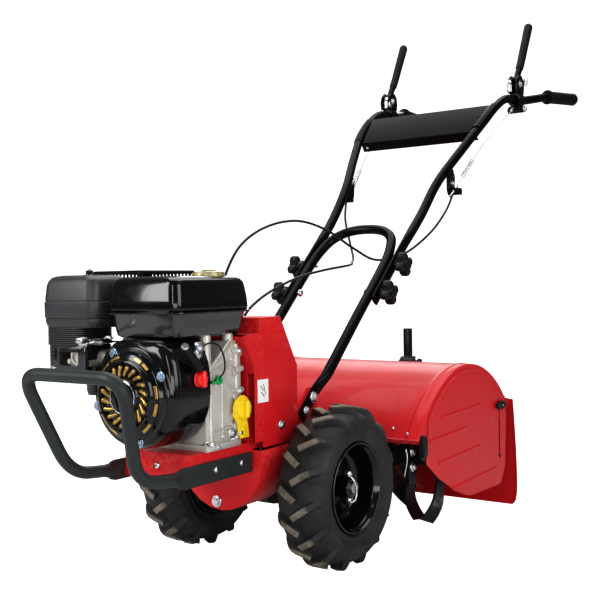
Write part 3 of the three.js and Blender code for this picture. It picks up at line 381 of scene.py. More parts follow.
def domed(path, r, start=True, end=True, steps=5):
    """The path lengthened by a round end, with the radius at each point."""
    points, radii = list(path), [r] * len(path)
    for at_start, wanted in ((True, start), (False, end)):
        if not wanted:
            continue
        tip, inner = (points[0], points[1]) if at_start else (points[-1], points[-2])
        out = (tip - inner).normalized()
        for k in range(1, steps + 1):
            t = pi / 2 * k / steps * 0.97
            p, q = tip + out * r * sin(t), r * cos(t)
            if at_start:
                points.insert(0, p)
                radii.insert(0, q)
            else:
                points.append(p)
                radii.append(q)
    return points, radii


def frames(path):
    """Along, side and up directions at each point of a path, without twist."""
    out, side = [], None
    for i in range(len(path)):
        along = (path[min(i + 1, len(path) - 1)] - path[max(i - 1, 0)]).normalized()
        if side is None:
            lead = Vector((1, 0, 0)) if abs(along.x) < 0.9 else Vector((0, 0, 1))
            side = lead
        side = (side - along * side.dot(along)).normalized()
        out.append((along, side, along.cross(side)))
    return out


def round_rect(x0, x1, y0, y1, r, z, steps=6):
    """A ring of points round a rectangle with rounded corners."""
    out = []
    for cx, cy, start in ((x1 - r, y1 - r, 0), (x0 + r, y1 - r, 90), (x0 + r, y0 + r, 180), (x1 - r, y0 + r, 270)):
        for k in range(steps + 1):
            t = radians(start + 90 * k / steps)
            out.append((cx + r * cos(t), cy + r * sin(t), z))
    return out


def placed(axis, s, point):
    a, b = point
    return {"x": (s, a, b), "y": (a, s, b), "z": (a, b, s)}[axis]


# ---- building -----------------------------------------------------------------------
class Maker:
    """Collects the faces of one piece, in millimetres."""

    def __init__(self):
        self.bm = bmesh.new()
        self.used = []

    def slot_of(self, m):
        if m not in self.used:
            self.used.append(m)
        return self.used.index(m)

    def take(self, part, m):
        """Adds a small mesh built by itself."""
        k = self.slot_of(m)
        for f in part.faces:
            f.material_index = k
        mesh = bpy.data.meshes.new("part")
        part.to_mesh(mesh)
        part.free()
        self.bm.from_mesh(mesh)
        bpy.data.meshes.remove(mesh)

    def loft(self, rings, m, closed=False, turn=None):
        part = bmesh.new()
        made = [[part.verts.new(p) for p in ring] for ring in rings]
        pairs = list(zip(made, made[1:]))
        if closed:
            pairs.append((made[-1], made[0]))
        for a, b in pairs:
            for i in range(len(a)):
                j = (i + 1) % len(a)
                part.faces.new((a[i], a[j], b[j], b[i]))
        if not closed:
            part.faces.new(made[0][::-1])
            part.faces.new(made[-1])
        bmesh.ops.recalc_face_normals(part, faces=part.faces)
        if turn:
            part.transform(turn)
        self.take(part, m)

    def tube(self, path, r, m, sides=20, flat=None):
        """A round bar; r is one radius or one for each point, flat narrows it sideways."""
        path = [Vector(p) for p in path]
        rings = []
        for i, (_, side, up) in enumerate(frames(path)):
            ri = r[i] if isinstance(r, list) else r
            wide = flat[i] if flat else (1, 1)
            ring = []
            for k in range(sides):
                t = 2 * pi * k / sides
                ring.append(path[i] + side * ri * wide[0] * cos(t) + up * ri * wide[1] * sin(t))
            rings.append(ring)
        self.loft(rings, m)

    def lathe(self, at, along, profile, m, segments=48, start=0.0):
        """Turns a profile of (radius, distance along) about a line through at."""
        w = Vector(along).normalized()
        lead = Vector((1, 0, 0)) if abs(w.x) < 0.9 else Vector((0, 0, 1))
        u = (lead - w * lead.dot(w)).normalized()
        v = w.cross(u)
        closed = profile[0] == profile[-1]
        rings = []
        for r, s in profile[:-1] if closed else profile:
            ring = []
            for k in range(segments):
                t = start + 2 * pi * k / segments
                ring.append(Vector(at) + w * s + (u * cos(t) + v * sin(t)) * r)
            rings.append(ring)
        self.loft(rings, m, closed)

    def box(self, lo, hi, m, r=1.0, steps=2, turn=None):
        """A block with rounded edges; turn is a matrix applied about its middle."""
        part = bmesh.new()
        bmesh.ops.create_cube(part, size=1)
        size = Vector(hi) - Vector(lo)
        part.transform(Matrix.Diagonal(size).to_4x4())
        if r:
            bmesh.ops.bevel(part, geom=part.edges[:], offset=min(r, min(size) * 0.45), segments=steps,
                            profile=0.5, affect="EDGES")
        middle = Matrix.Translation((Vector(lo) + Vector(hi)) / 2)
        part.transform(middle @ turn if turn else middle)
        self.take(part, m)

    def slab(self, outline, axis, a, b, m, holes=(), turn=None):
        """An outline given a thickness from a to b along an axis, with holes through it."""
        part = bmesh.new()
        loops = []
        for s in (a, b):
            edges = []
            for loop in (outline, *holes):
                verts = [part.verts.new(placed(axis, s, p)) for p in loop]
                edges += [part.edges.new((v, w)) for v, w in zip(verts, verts[1:] + verts[:1])]
                loops.append(verts)
            if holes:
                bmesh.ops.triangle_fill(part, use_beauty=True, edges=edges)
            else:
                part.faces.new(loops[-1])
        half = len(loops) // 2
        for one, two in zip(loops[:half], loops[half:]):
            for i in range(len(one)):
                j = (i + 1) % len(one)
                part.faces.new((one[i], one[j], two[j], two[i]))
        bmesh.ops.recalc_face_normals(part, faces=part.faces)
        if turn:
            part.transform(turn)
        self.take(part, m)

    def sheet(self, grid, thick, m):
        """A thin sheet whose outer face is the grid of points; thick grows it inwards."""
        rows, cols = len(grid), len(grid[0])
        grid = [[Vector(p) for p in row] for row in grid]
        inner = []
        for i in range(rows):
            line = []
            for j in range(cols):
                du = grid[min(i + 1, rows - 1)][j] - grid[max(i - 1, 0)][j]
                dv = grid[i][min(j + 1, cols - 1)] - grid[i][max(j - 1, 0)]
                line.append(grid[i][j] - du.cross(dv).normalized() * thick)
            inner.append(line)
        part = bmesh.new()
        top = [[part.verts.new(p) for p in row] for row in grid]
        under = [[part.verts.new(p) for p in row] for row in inner]
        for i in range(rows - 1):
            for j in range(cols - 1):
                part.faces.new((top[i][j], top[i][j + 1], top[i + 1][j + 1], top[i + 1][j]))
                part.faces.new((under[i][j], under[i + 1][j], under[i + 1][j + 1], under[i][j + 1]))
        rim = [(0, j) for j in range(cols)] + [(i, cols - 1) for i in range(1, rows)]
        rim += [(rows - 1, j) for j in range(cols - 2, -1, -1)] + [(i, 0) for i in range(rows - 2, 0, -1)]
        for (a, b), (c, d) in zip(rim, rim[1:] + rim[:1]):
            part.faces.new((top[a][b], top[c][d], under[c][d], under[a][b]))
        bmesh.ops.recalc_face_normals(part, faces=part.faces)
        self.take(part, m)

    def bolt(self, at, along, r, m=None, kind="hex", washer=True):
        """A fastener's head: hex, dome or slot, on a washer."""
        m = m or ZINC
        at, along = Vector(at), Vector(along).normalized()
        if washer:
            self.lathe(at, along, [(r * 1.55, 0), (r * 1.55, r * 0.18), (r * 1.45, r * 0.26), (r, r * 0.26)], m, 28)
        if kind == "hex":
            self.lathe(at, along, [(r, 0), (r * 1.12, r * 0.3), (r * 1.12, r * 0.85), (r * 0.95, r)], m, 6)
            self.lathe(at, along, [(r * 0.7, r * 0.9), (r * 0.62, r * 1.06)], m, 20)
        else:
            profile = [(r * cos(t), r * 0.25 + r * 0.55 * sin(t)) for t in (0, 0.4, 0.8, 1.15, 1.4)]
            self.lathe(at, along, [(r, 0)] + profile, m, 28)
        if kind == "slot":
            side = along.orthogonal().normalized()
            turn = Matrix((side, along.cross(side), along)).transposed().to_4x4()
            mid = at + along * r * 0.79
            self.box(mid - Vector((r * 0.8, r * 0.12, r * 0.1)), mid + Vector((r * 0.8, r * 0.12, r * 0.1)), INK, 0.2,
                     turn=turn)

    def done(self, name, body, bevel=0.0, replaces=(), mirror=False, angle=35, steps=2):
        """Makes the Blender object, rides it on its body, and hides the CAD nodes it stands in for."""
        if mirror:
            self.bm.transform(Matrix.Diagonal((-1, 1, 1, 1)))
            bmesh.ops.reverse_faces(self.bm, faces=self.bm.faces)
        self.bm.transform(TO_ROW)
        mesh = bpy.data.meshes.new(name)
        self.bm.to_mesh(mesh)
        self.bm.free()
        for m in self.used:
            mesh.materials.append(m)
        mesh.shade_smooth()
        mesh.set_sharp_from_angle(angle=radians(angle))
        piece = bpy.data.objects.new(name, mesh)
        scene.collection.objects.link(piece)
        if bevel:
            soften(piece, bevel, angle, steps)
        if body:
            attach(piece, body)
        if replaces:
            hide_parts(*replaces)
        return piece


def soften(piece, width, angle=35, steps=2):
    """Rounds the sharp edges of a piece by a width in millimetres."""
    edge = piece.modifiers.new("edges", "BEVEL")
    edge.width = width / 1000
    edge.segments = steps
    edge.limit_method = "ANGLE"
    edge.angle_limit = radians(angle)
    edge.harden_normals = False


# ---- wheels -------------------------------------------------------------------------
TRACK = 194  # from the middle plane to a wheel's middle
LUGS = 15  # bars on each side of one tyre
TYRE_SPREAD = 1.1  # how much wider than its carcass the tyre bulges


def lug_stations():
    """Along the bar, its top radius and its base radius."""
    return [(-5, 177.3, 158), (10, 177.3, 158), (26, 177.0, 158), (35, 175.2, 157), (43, 170, 154), (50, 162, 148),
            (56, 153, 141), (60, 144, 134)]


def build_tyre(side, end):
    k = Maker()
    half = [(99.2, 44), (100.3, 47.6), (103.5, 50.2), (108, 51.0), (109.6, 50.2), (111.4, 51.4), (117, 53.0),
            (126, 53.8), (135, 53.4), (137.4, 52.2), (139.6, 52.6), (146, 50.2), (153, 44.2), (159, 33.5),
            (162.6, 20), (163.6, 8)]
    half = [(r, x if r < 120 else x * TYRE_SPREAD) for r, x in half]
    outer = half + [(r, -x) for r, x in reversed(half)]
    ring = outer + [(96, -40), (120, -43), (146, -34), (153, 0), (146, 34), (120, 43), (96, 40)]
    k.lathe((TRACK, 0, AXLE_Z), X, ring + ring[:1], TYRE, 96)
    slant = radians(34)
    for i in range(2 * LUGS):
        hand = 1 if i % 2 == 0 else -1
        turn = 2 * pi * i / (2 * LUGS)
        rings = []
        for u, top, base in lug_stations():
            ring = []
            for w, r in ((-8.4, base), (-6.2, top), (6.2, top), (8.4, base)):
                x = hand * (u * cos(slant) - w * sin(slant))
                t = turn - (u * sin(slant) + w * cos(slant) - 16) / 168
                ring.append((TRACK + x * TYRE_SPREAD, -r * sin(t), AXLE_Z + r * cos(t)))
            rings.append(ring)
        k.loft(rings, TYRE)
    k.done("tyre_fine_" + end, "wheels", 1.4, ["tyre_" + end], side < 0, 28, 3)


def build_rim(side, end):
    k = Maker()
    dish = [(97.6, 50.2), (96.2, 51.4), (94.2, 51.2), (92.4, 48.6), (91.0, 45.4), (87.6, 42.6), (85.6, 38),
            (84.6, 30),
            (83.8, 14), (82.6, 4), (79.5, -3), (74, -7), (66, -9), (56, -9.6), (50, -9.2), (46, -6.8), (41, -6.2),
            (34, -6.6), (23.5, -6.8)]
    back = [(23.5, -10), (46, -10.4), (56, -13), (70, -12.6), (80, -10), (84, -16), (86, -34), (90.5, -43),
            (94, -50), (97.6, -50.2), (98.4, -47.5), (94.5, -43.5), (89, -38), (86, -20), (86, 20), (88.6, 38),
            (94, 43.4), (98.4, 46.6)]
    ring = dish + back
    k.lathe((TRACK, 0, AXLE_Z), X, ring + ring[:1], GLOSS, 80)
    hub = [(14.3, -46), (21.5, -46), (23, -44.5), (23, 35.5), (21.5, 37.5), (14.3, 37.5)]
    k.lathe((TRACK, 0, AXLE_Z), X, hub + hub[:1], GLOSS, 40)
    for i in range(4):
        t = radians(45 + 90 * i)
        place = (TRACK - 9.5, 62 * cos(t), AXLE_Z + 62 * sin(t))
        k.bolt(place, X, 5.5, TUBE)
    valve = (TRACK + 30, 76 * cos(2.3), AXLE_Z + 76 * sin(2.3))
    k.lathe(valve, X, [(3.4, -32), (3.4, -6), (2.6, -4), (2.6, 4), (1.8, 5)], PLASTIC, 16)
    k.done("rim_fine_" + end, "wheels", 0.5, ["rim_" + end], side < 0)
    k = Maker()
    x = TRACK + 27
    k.lathe((x, 0, AXLE_Z), Z, [(3.9, -34), (3.9, 31)], ZINC, 20)
    k.lathe((x, 0, AXLE_Z), Z, [(8, 25), (8.6, 26), (8.6, 33), (7.4, 35)], ZINC, 28)
    clip = spline([(x, -7, 147), (x + 9, -9, 147), (x + 17, -3, 152), (x + 19, 2, 166), (x + 18, 0, 184),
                   (x + 14, -3, 196), (x + 8, -5, 203), (x + 2, -7, 206)], 36)
    k.tube(clip, 1.9, ZINC, 12)
    k.tube(spline([(x - 3, 9, 147), (x + 6, 9, 147), (x + 15, 5, 149), (x + 17, -3, 152)], 14), 1.9, ZINC, 12)
    k.lathe((x + 2, -1, 149), Z, [(6, -5.5), (6.6, -4), (6.6, 4), (6, 5.5)], ZINC, 24)
    k.done("hub_pin_" + end, "wheels", 0.3, (), side < 0)


# ---- front guard and deck -----------------------------------------------------------
def build_bumper():
    k = Maker()
    points = [(92, -388, 250), (88, -505, 262), (132, -580, 460), (-132, -580, 460), (-88, -505, 262),
              (-92, -388, 250)]
    path = bent(points, 52, 14)
    path = resample(path, 190)
    flat = []
    for p in path:
        t = min(max((-388 - p.y) / 30, 0), 1)
        squeeze = 0.42 + 0.58 * t * t * (3 - 2 * t) if p.z < 300 else 1.0
        flat.append((squeeze, 1.32 - 0.32 * (squeeze - 0.42) / 0.58))
    k.tube(path, 12.5, SLATE, 28, flat)
    strap = [(-410, 243), (-410, 257), (-396, 268), (-384, 270.5), (-172, 270.5), (-172, 229), (-384, 229),
             (-396, 232)]
    for s in (1, -1):
        k.slab([(y, z) for y, z in strap], "x", 88.8 * s, 95.2 * s, SLATE)
    k.done("bumper_fine", "chassis", 1.3, ["bumper_guard"], steps=3)
    k = Maker()
    for s in (1, -1):
        for y in (-293, -211):
            k.bolt((95.2 * s, y, 253), (s, 0, 0), 6, ZINC, "dome", False)
    k.bolt((-10, -165.4, 153), (0, -1, 0), 8.4)
    k.bolt((0, -358.4, 263.4), (0, -1, 0), 6.8, ZINC, "slot", False)
    for s in (1, -1):
        k.bolt((110.3 * s, -91, 317), (s, 0, 0), 6.6)
    k.done("deck_bolts", "chassis", 0.25)


def build_cover_front():
    """The belt cover's front wall, which the plain model leaves open."""
    k = Maker()
    wall = [(-181, 291), (-181, 446), (-216, 512), (-214.6, 512.8), (-179.5, 446.6), (-179.5, 291)]
    k.slab(wall, "x", -108.5, 90, RED)
    # Beside the block the wall steps back, so that the dipstick's tag can turn.
    k.slab([(-181, 434), (-181, 446), (-216, 512), (-214.6, 512.8), (-179.5, 446.6), (-140, 436), (-140, 291),
            (-142, 291), (-142, 434)], "x", 90, 108.5, RED)
    k.slab([(-181, 291), (-181, 436), (-140, 436), (-140, 291)], "x", 88.6, 90, RED)
    k.slab([(-161.4, 514), (-161.4, 549), (-159.8, 549), (-159.8, 514)], "x", -108.5, 108.5, RED)
    skin = [(-181.4, 291), (-181.4, 446), (-216.4, 512), (-216, 514.4), (-150, 517), (-150, 291)]
    for s in (1, -1):
        k.slab(skin, "x", s * 108.4, s * 110.05, RED)
    k.done("belt_cover_front", "chassis", 0.6, angle=30)


def build_sticker():
    """A pale square with a few plain strokes in place of the real one's drawing."""
    k = Maker()
    k.slab([(-172, 372), (-135, 372), (-135, 420), (-172, 420)], "x", 110.2, 110.6, LABEL)
    k.done("cover_label", "chassis", 0.1)
    k = Maker()
    for a, b in (((-162, 408), (-152, 396)), ((-152, 410), (-145, 388)), ((-160, 394), (-149, 384))):
        start, stop = Vector((110.6, *a)), Vector((110.6, *b))
        k.tube([start, stop], 1.1, INK, 8, [(0.3, 1)] * 2)
    k.done("cover_label_marks", "chassis")


# ---- engine -------------------------------------------------------------------------
CRANK_Z = 408  # crankshaft height
CAP_PLACE = (46, -246)  # X and Y of the fuel cap


def build_tank():
    k = Maker()
    x0, x1, y0, y1 = -95, 98, -403, -169
    upper = [(566, 4, 22), (569, 1.5, 23), (574, 0.4, 23), (590, 1.4, 23), (608, 3.6, 23), (620, 5.6, 23),
             (626, 7.6, 22), (631, 11, 21), (634.4, 16, 20), (636.4, 23, 20), (637.4, 36, 18), (637.8, 60, 14)]
    rings = [round_rect(x0 + i, x1 - i, y0 + i, y1 - i, r, z, 8) for z, i, r in upper]
    k.loft(rings, GLOSS)
    # The lower shell takes the lighter grey of the painted floor reflection.
    lower = [(515, 24, 16), (516.6, 14, 22), (521, 8, 25), (529, 5.4, 27), (546, 2.8, 28), (558, 1.0, 29),
             (565, -1, 30)]
    rings = [round_rect(x0 + 3 + i, x1 - 2 - i, y0 + 4 + i, y1 - 6 - i, r, z, 8) for z, i, r in lower]
    k.loft(rings, TANK_LOW_PAINTED_REFLECTION)
    lip = [(563.6, 2.4, 30), (564.2, 0.5, 32), (565.6, 0, 32), (567.2, 0.2, 32), (568.2, 2.4, 30)]
    k.loft([round_rect(-101 + i, 104 - i, -409 + i, -163 - i, r, z, 8) for z, i, r in lip], GLOSS)
    k.lathe((*CAP_PLACE, 0), Z, [(26, 630), (26, 634), (24, 635.4), (22, 635.8)], GLOSS, 40)
    k.done("tank_fine", "chassis", 0, ["fuel_tank"])
    k = Maker()
    skirt = [(24, 634.4), (31.4, 634.4), (32.4, 635.4), (32.4, 643.4), (31.2, 645.4), (27, 646.4), (12, 647.2)]
    k.lathe((*CAP_PLACE, 0), Z, skirt, CAP_GOLD, 48)
    for i in range(10):
        t = 2 * pi * i / 10
        place = Vector((CAP_PLACE[0] + 31.2 * cos(t), CAP_PLACE[1] + 31.2 * sin(t), 639.6))
        k.box(place - Vector((2.4, 4.4, 4.2)), place + Vector((2.4, 4.4, 4.2)), CAP_GOLD, 1.2,
              turn=Matrix.Rotation(t, 4, "Z"))
    k.box((43, -266, 646.4), (49, -226, 650), CAP_GOLD, 1.6)
    k.done("tank_cap_fine", "cap", 0.3, ["fuel_cap"])


def build_air_cleaner():
    k = Maker()
    x0, x1, y0, y1 = -262, -106, -424, -302
    layers = [(555, 2.0, 22), (557, 0.3, 24), (586, 0, 24), (588.5, 0.2, 24), (589, 2.0, 23), (591.5, 2.2, 23),
              (592, 1.0, 24), (622, 3.4, 25), (632, 6.4, 25), (638, 11, 24), (641.4, 18, 22), (643, 30, 18)]
    k.loft([round_rect(x0 + i, x1 - i, y0 + i, y1 - i, r, z, 8) for z, i, r in layers], CASE)
    k.done("air_cleaner_fine", "chassis", 0.5, ["air_cleaner_cover"], angle=40)
    k = Maker()
    tray = [(536, 7, 20), (540, 3, 22), (549, 0.4, 24), (554.4, 0.4, 24)]
    k.loft([round_rect(x0 + 1 + i, x1 - 1 - i, y0 + 1 + i, y1 - 1 - i, r, z, 8) for z, i, r in tray], CASE)
    neck = []
    for i in range(9):
        z = 500 + 4.2 * i
        neck += [(z, 2.2, 14), (z + 1.0, 0, 16), (z + 2.8, 0, 16), (z + 3.8, 2.2, 14)]
    k.loft([round_rect(-255 + i, -150 - i, -418 + i, -319 - i, r, z, 6) for z, i, r in neck], CASE)
    # The panel below the filter holds the carburettor's levers.
    k.box((-254, -404, 446), (-228, -334, 501), CASE, 4, 3)
    k.box((-214, -352, 440), (-146, -334, 500), PLASTIC, 3, 2)
    plate = [(-250, 440), (-240, 434), (-150, 440), (-144, 448), (-144, 494), (-150, 501), (-250, 501)]
    gap = [(-222, 458), (-222, 488), (-216, 493), (-172, 493), (-166, 488), (-166, 462), (-172, 457)]
    k.slab(plate, "y", -409, -401, CASE, [gap])
    k.box((-246, -412, 470), (-230, -408, 494), PLASTIC, 2)
    for i in range(3):
        k.box((-244, -413.4, 473 + 7 * i), (-232, -411, 476 + 7 * i), CASE, 0.8)
    k.lathe((-236, -409, 452), (0, -1, 0), [(7, 0), (7, 3), (5, 6), (4, 9)], ZINC, 20)
    k.box((-152, -398, 470), (-142, -360, 500), PLASTIC, 3)
    k.lathe((-178, -362, 0), Z, [(3.2, 640), (3.2, 656)], STEEL, 16)
    k.lathe((-178, -362, 0), Z, [(12, 642.4), (12, 643.8), (9, 644.6)], PLASTIC, 28)
    k.lathe((-178, -362, 0), Z, [(7.4, 645), (8, 646), (8, 652), (6, 653)], PLASTIC, 6)
    k.done("filter_base_fine", "chassis", 0.5, ["air_cleaner_base"], angle=40)


def build_carburettor():
    k = Maker()
    k.box((-208, -392, 452), (-150, -352, 499), ALLOY, 3)
    k.lathe((-179, -372, 476), (0, -1, 0), [(19, 10), (20, 12), (20, 26), (17, 29), (13, 29), (12, 24)], ALLOY, 40)
    k.lathe((-150.5, -362, 474), X, [(17, 0), (17, 30)], ALLOY, 32)
    k.lathe((-178, -366, 0), Z, [(12, 421), (19, 424), (21.6, 430), (22, 446), (24, 448), (24, 453)], ZINC, 40)
    k.lathe((-178, -366, 0), Z, [(5, 411), (6.2, 413), (6.2, 421)], ZINC, 6)
    # The dark fuel cup hangs behind the guard's top bar.
    k.lathe((-146, -386, 0), Z, [(8, 398), (12, 400), (14, 408), (15, 434), (17, 437), (17, 444)], CASE, 32)
    k.box((-164, -396, 442), (-130, -360, 456), PLASTIC, 3)
    for x, z in ((-200, 490), (-158, 490), (-158, 460)):
        k.bolt((x, -392.6, z), (0, -1, 0), 3.6, ZINC, "slot", False)
    k.lathe((-200, -393, 466), (0, -1, 0), [(6.5, 0), (6.5, 8), (5, 10)], ALLOY, 6)
    k.done("carburettor_fine", "chassis", 0.5, ["carburettor"])
    k = Maker()
    k.slab([(-110, -386), (-90, -386), (-92, -400), (-95, -444), (-99, -462), (-106, -462), (-107, -440),
            (-108, -400)], "z", 513.5, 516, ZINC)
    k.lathe((-100, -388, 516), Z, [(11, -2), (11, 0.6), (8, 1)], ZINC, 28)
    k.bolt((-100, -388, 516), Z, 4.4)
    k.box((-110, -468, 509), (-92, -446, 521), ZINC, 4, 3)
    k.done("throttle_fine", "throttle", 0.4, ["throttle_lever"])
    k = Maker()
    # Governor link, return spring and the choke's bright lever beside the filter.
    k.tube(spline([(-150, -404, 478), (-142, -410, 498), (-122, -404, 508), (-100, -392, 506)], 24), 1.5, ZINC, 10)
    coil = []
    for i in range(110):
        t = i / 109
        coil.append(Vector((-146 + 42 * t, -398 + 4.2 * sin(20 * pi * t),
                            506 + 4.2 * cos(20 * pi * t))))
    k.tube(coil, 0.9, ZINC, 8)
    k.slab([(-186, 494), (-152, 500), (-140, 509), (-128, 508), (-136, 498), (-152, 493), (-182, 488)],
           "y", -422, -419.5, ZINC)
    k.box((-150, -424, 501), (-124, -414, 511), ZINC, 3, 3)
    k.box((-204, -424, 487), (-150, -418, 495), PLASTIC, 2)
    k.box((-150, -400, 506), (-96, -360, 508.5), TUBE, 0.8)
    k.done("control_links", "chassis", 0.3)


def arc_points(middle, r, start, stop, steps):
    """Points of an arc, in degrees, in X and Z."""
    out = []
    for i in range(steps + 1):
        t = radians(start + (stop - start) * i / steps)
        out.append((middle[0] + r * cos(t), middle[1] + r * sin(t)))
    return out


def build_fan_cover():
    k = Maker()
    drum = [(90, -420), (91, -426), (92.6, -428.6), (95, -428.2), (98.4, -424.6), (101.6, -418), (103.8, -409),
            (105.2, -397), (106, -384), (106, -318), (104, -316.4), (101, -316.4), (101, -405), (90, -416)]
    k.lathe((0, 0, CRANK_Z), Y, drum + drum[:1], GLOSS, 96)
    shoulder = [(-104, 404), (-101, 440), (-93, 474), (-80, 494), (-60, 509), (-44, 514), (58, 514), (76, 508),
                (92, 491), (101, 470), (106, 440), (106, 404)]
    inner = [(-100, 404), (-97, 440), (-89, 472), (-77, 491), (-59, 505), (-44, 509), (56, 509), (72, 503),
             (86, 487), (95, 469), (100, 440), (100, 404)]
    k.slab(shoulder + inner[::-1], "y", -404, -316.4, GLOSS)
    hood = [[(x * s, y, CRANK_Z + (z - CRANK_Z) * s) for x, z in shoulder]
            for s, y in ((1.0, -404), (0.985, -411), (0.95, -417), (0.9, -421), (0.84, -423))]
    k.loft(hood, GLOSS)
    # The lower left is cut off square beside the carburettor, and carries a dark lug.
    k.box((-100, -396, 372), (-88, -330, 470), GLOSS, 4, 3)
    k.done("fan_cover_fine", "chassis", 1.0, ["fan_cover"], steps=3)
    k = Maker()
    for middle in (9, -16, -48, 50, 66, 112, 137, 162, 192, 217, 242):
        t0, t1 = middle - 9.2, middle + 9.2
        if middle in (50, 66):
            t0, t1 = middle - 6.4, middle + 6.4
        outer = arc_points((0, CRANK_Z), 80.0, t0, t1, 8)
        inner = arc_points((0, CRANK_Z), 74.6, t1, t0, 8)
        k.loft([[(x, y, z) for (x, z), y in zip(outer + inner, [-439.4 + d] * 9 + [-441.8 + d] * 9)]
                for d in (0, 4)], GOLD)
    k.done("cover_slots_gold", "chassis", 0.9, steps=3)


def build_recoil():
    k = Maker()
    dish = [(4, -452.4), (20, -452.2), (30, -451.6), (34, -450.4), (35.8, -448), (36.6, -445), (38, -443.4),
            (48, -442.8), (60.6, -442), (61.4, -445.4), (63, -447.6), (66, -448.4), (69, -447.4), (71, -444.6),
            (72, -441), (73.4, -440.2), (80.4, -437.6), (83, -436), (85, -433.4), (87, -431.2), (94, -430.2),
            (94.6, -429.2), (94, -427.6), (88, -426), (60, -432), (4, -440)]
    k.lathe((0, 0, CRANK_Z), Y, dish, GLOSS, 96)
    k.done("recoil_fine", "chassis", 0, ["recoil_cover"])
    k = Maker()
    petals = 20
    for i in range(petals):
        t = 2 * pi * i / petals
        points = []
        for n in range(7):
            u = n / 6
            r, swing = 42.5 + 14.5 * u, -0.17 * u
            points.append(Vector((r * cos(t + swing), -443.4 - 2.2 * u, CRANK_Z + r * sin(t + swing))))
        path, radii = domed(points, 4.5)
        count = len(radii)
        radii = [r * (0.62 + 0.38 * min(1, n / (count - 6))) for n, r in enumerate(radii)]
        k.tube(path, radii, GOLD, 14)
    k.done("louvres_gold", "chassis", 0, ["air_screen"])
    k = Maker()
    ring = [(32.4, -450.4), (32.4, -452.0), (30.6, -452.5), (30.6, -450.8)]
    k.lathe((0, 0, CRANK_Z), Y, ring + ring[:1], ZINC, 72)
    for degrees in (27, -75, 117, 195):
        t = radians(degrees)
        k.bolt((91 * cos(t), -430.4, CRANK_Z + 91 * sin(t)), (0, -1, 0), 6.4, BLUE_ZINC)
    for degrees in (90, 210, 330):
        t = radians(degrees)
        k.bolt((66 * cos(t), -448, CRANK_Z + 66 * sin(t)), (0, -1, 0), 2.6, TUBE, washer=False)
    k.done("recoil_bolts", "chassis", 0.2)


def build_small_engine_parts():
    k = Maker()
    path = spline([(117, -400, 500), (118, -388, 487), (118, -374, 472), (117, -364, 461)], 16)
    path, radii = domed(path, 8.6)
    k.tube(path, radii, PLASTIC, 24, [(1.05, 1)] * len(path))
    k.lathe((117, -402, 502), (0.6, -0.6, 0.5), [(6.4, -3), (7.4, 0), (7.4, 7), (5, 10)], ZINC, 24)
    k.done("starter_fine", "starter", 0, ["starter_handle"])
    k = Maker()
    k.lathe((109, -354, 439), X, [(15.4, 0), (15.4, 2), (14, 3), (14, 9), (12, 12), (9, 13)], SWITCH_RED, 36)
    k.box((112, -359.6, 423), (127, -348.4, 455), SWITCH_RED, 4.4, 3)
    k.box((107.2, -366, 427), (110.4, -342, 451), SWITCH_RED, 1.4, 2)
    k.done("switch_fine", "switch", 0.3, ["ignition_switch"])
    k = Maker()
    k.lathe((94, -206, 364), X, [(7, -30), (7, -2), (21, -2), (22.4, 0), (22.4, 7), (21, 9.4), (16, 10.4)],
            YELLOW, 40)
    for i in range(8):
        t = 2 * pi * i / 8
        k.box((95, -206 - 2 + 21.6 * cos(t), 364 - 2 + 21.6 * sin(t)),
              (101, -206 + 2 + 21.6 * cos(t), 364 + 2 + 21.6 * sin(t)), YELLOW, 1)
    k.box((101, -211.4, 346), (114, -200.6, 382), YELLOW, 4.4, 3)
    ear = [(-216, 392), (-230, 384), (-238, 370), (-237, 352), (-226, 338), (-224, 322), (-216, 304), (-188, 304),
           (-190, 326), (-194, 340), (-188, 348), (-183.5, 358), (-183, 368), (-186, 378), (-192, 386), (-202, 392)]
    k.slab([(y, z) for y, z in ear], "x", 96.2, 98.6, YELLOW)
    k.box((98, -216, 306), (100.4, -198, 328), YELLOW, 0.8)
    k.done("dipstick_fine", "dipstick", 0.7, ["oil_dipstick"], steps=3)
    k = Maker()
    loop = spline([(101, -352, 462), (104, -344, 494), (106, -318, 506), (108, -292, 498), (108, -276, 472),
                   (108, -278, 446), (106, -296, 434), (104, -312, 428)], 48)
    k.tube(loop, 1.7, PLASTIC, 12)
    k.tube(spline([(108, -352, 452), (112, -344, 470), (106, -334, 492)], 16), 1.5, PLASTIC, 10)
    k.done("switch_wire", "chassis")
    k = Maker()
    k.lathe((104, -290, 431), (1, 0, 0.1), [(4.4, -3), (9, -3), (9.6, -1), (9.6, 2), (9, 4), (4.4, 4), (4.4, -3)],
            GREEN, 28)
    k.tube(spline([(104, -312, 428), (105, -304, 427), (105, -297, 430)], 8), 3.0, GREEN, 14)
    k.done("earth_eyelet", "chassis")
    k = Maker()
    k.slab([(-372, 470), (-352, 470), (-340, 486), (-332, 502), (-340, 508), (-352, 494), (-366, 490)], "x", 103,
           105.4,
           ZINC)
    k.box((96, -356, 478), (108, -340, 494), ZINC, 3, 2)
    k.bolt((105.4, -344, 497), X, 4.4)
    k.box((92, -350, 492), (104, -330, 510), ZINC, 2.4, 2)
    k.done("cable_clip", "chassis", 0.4)


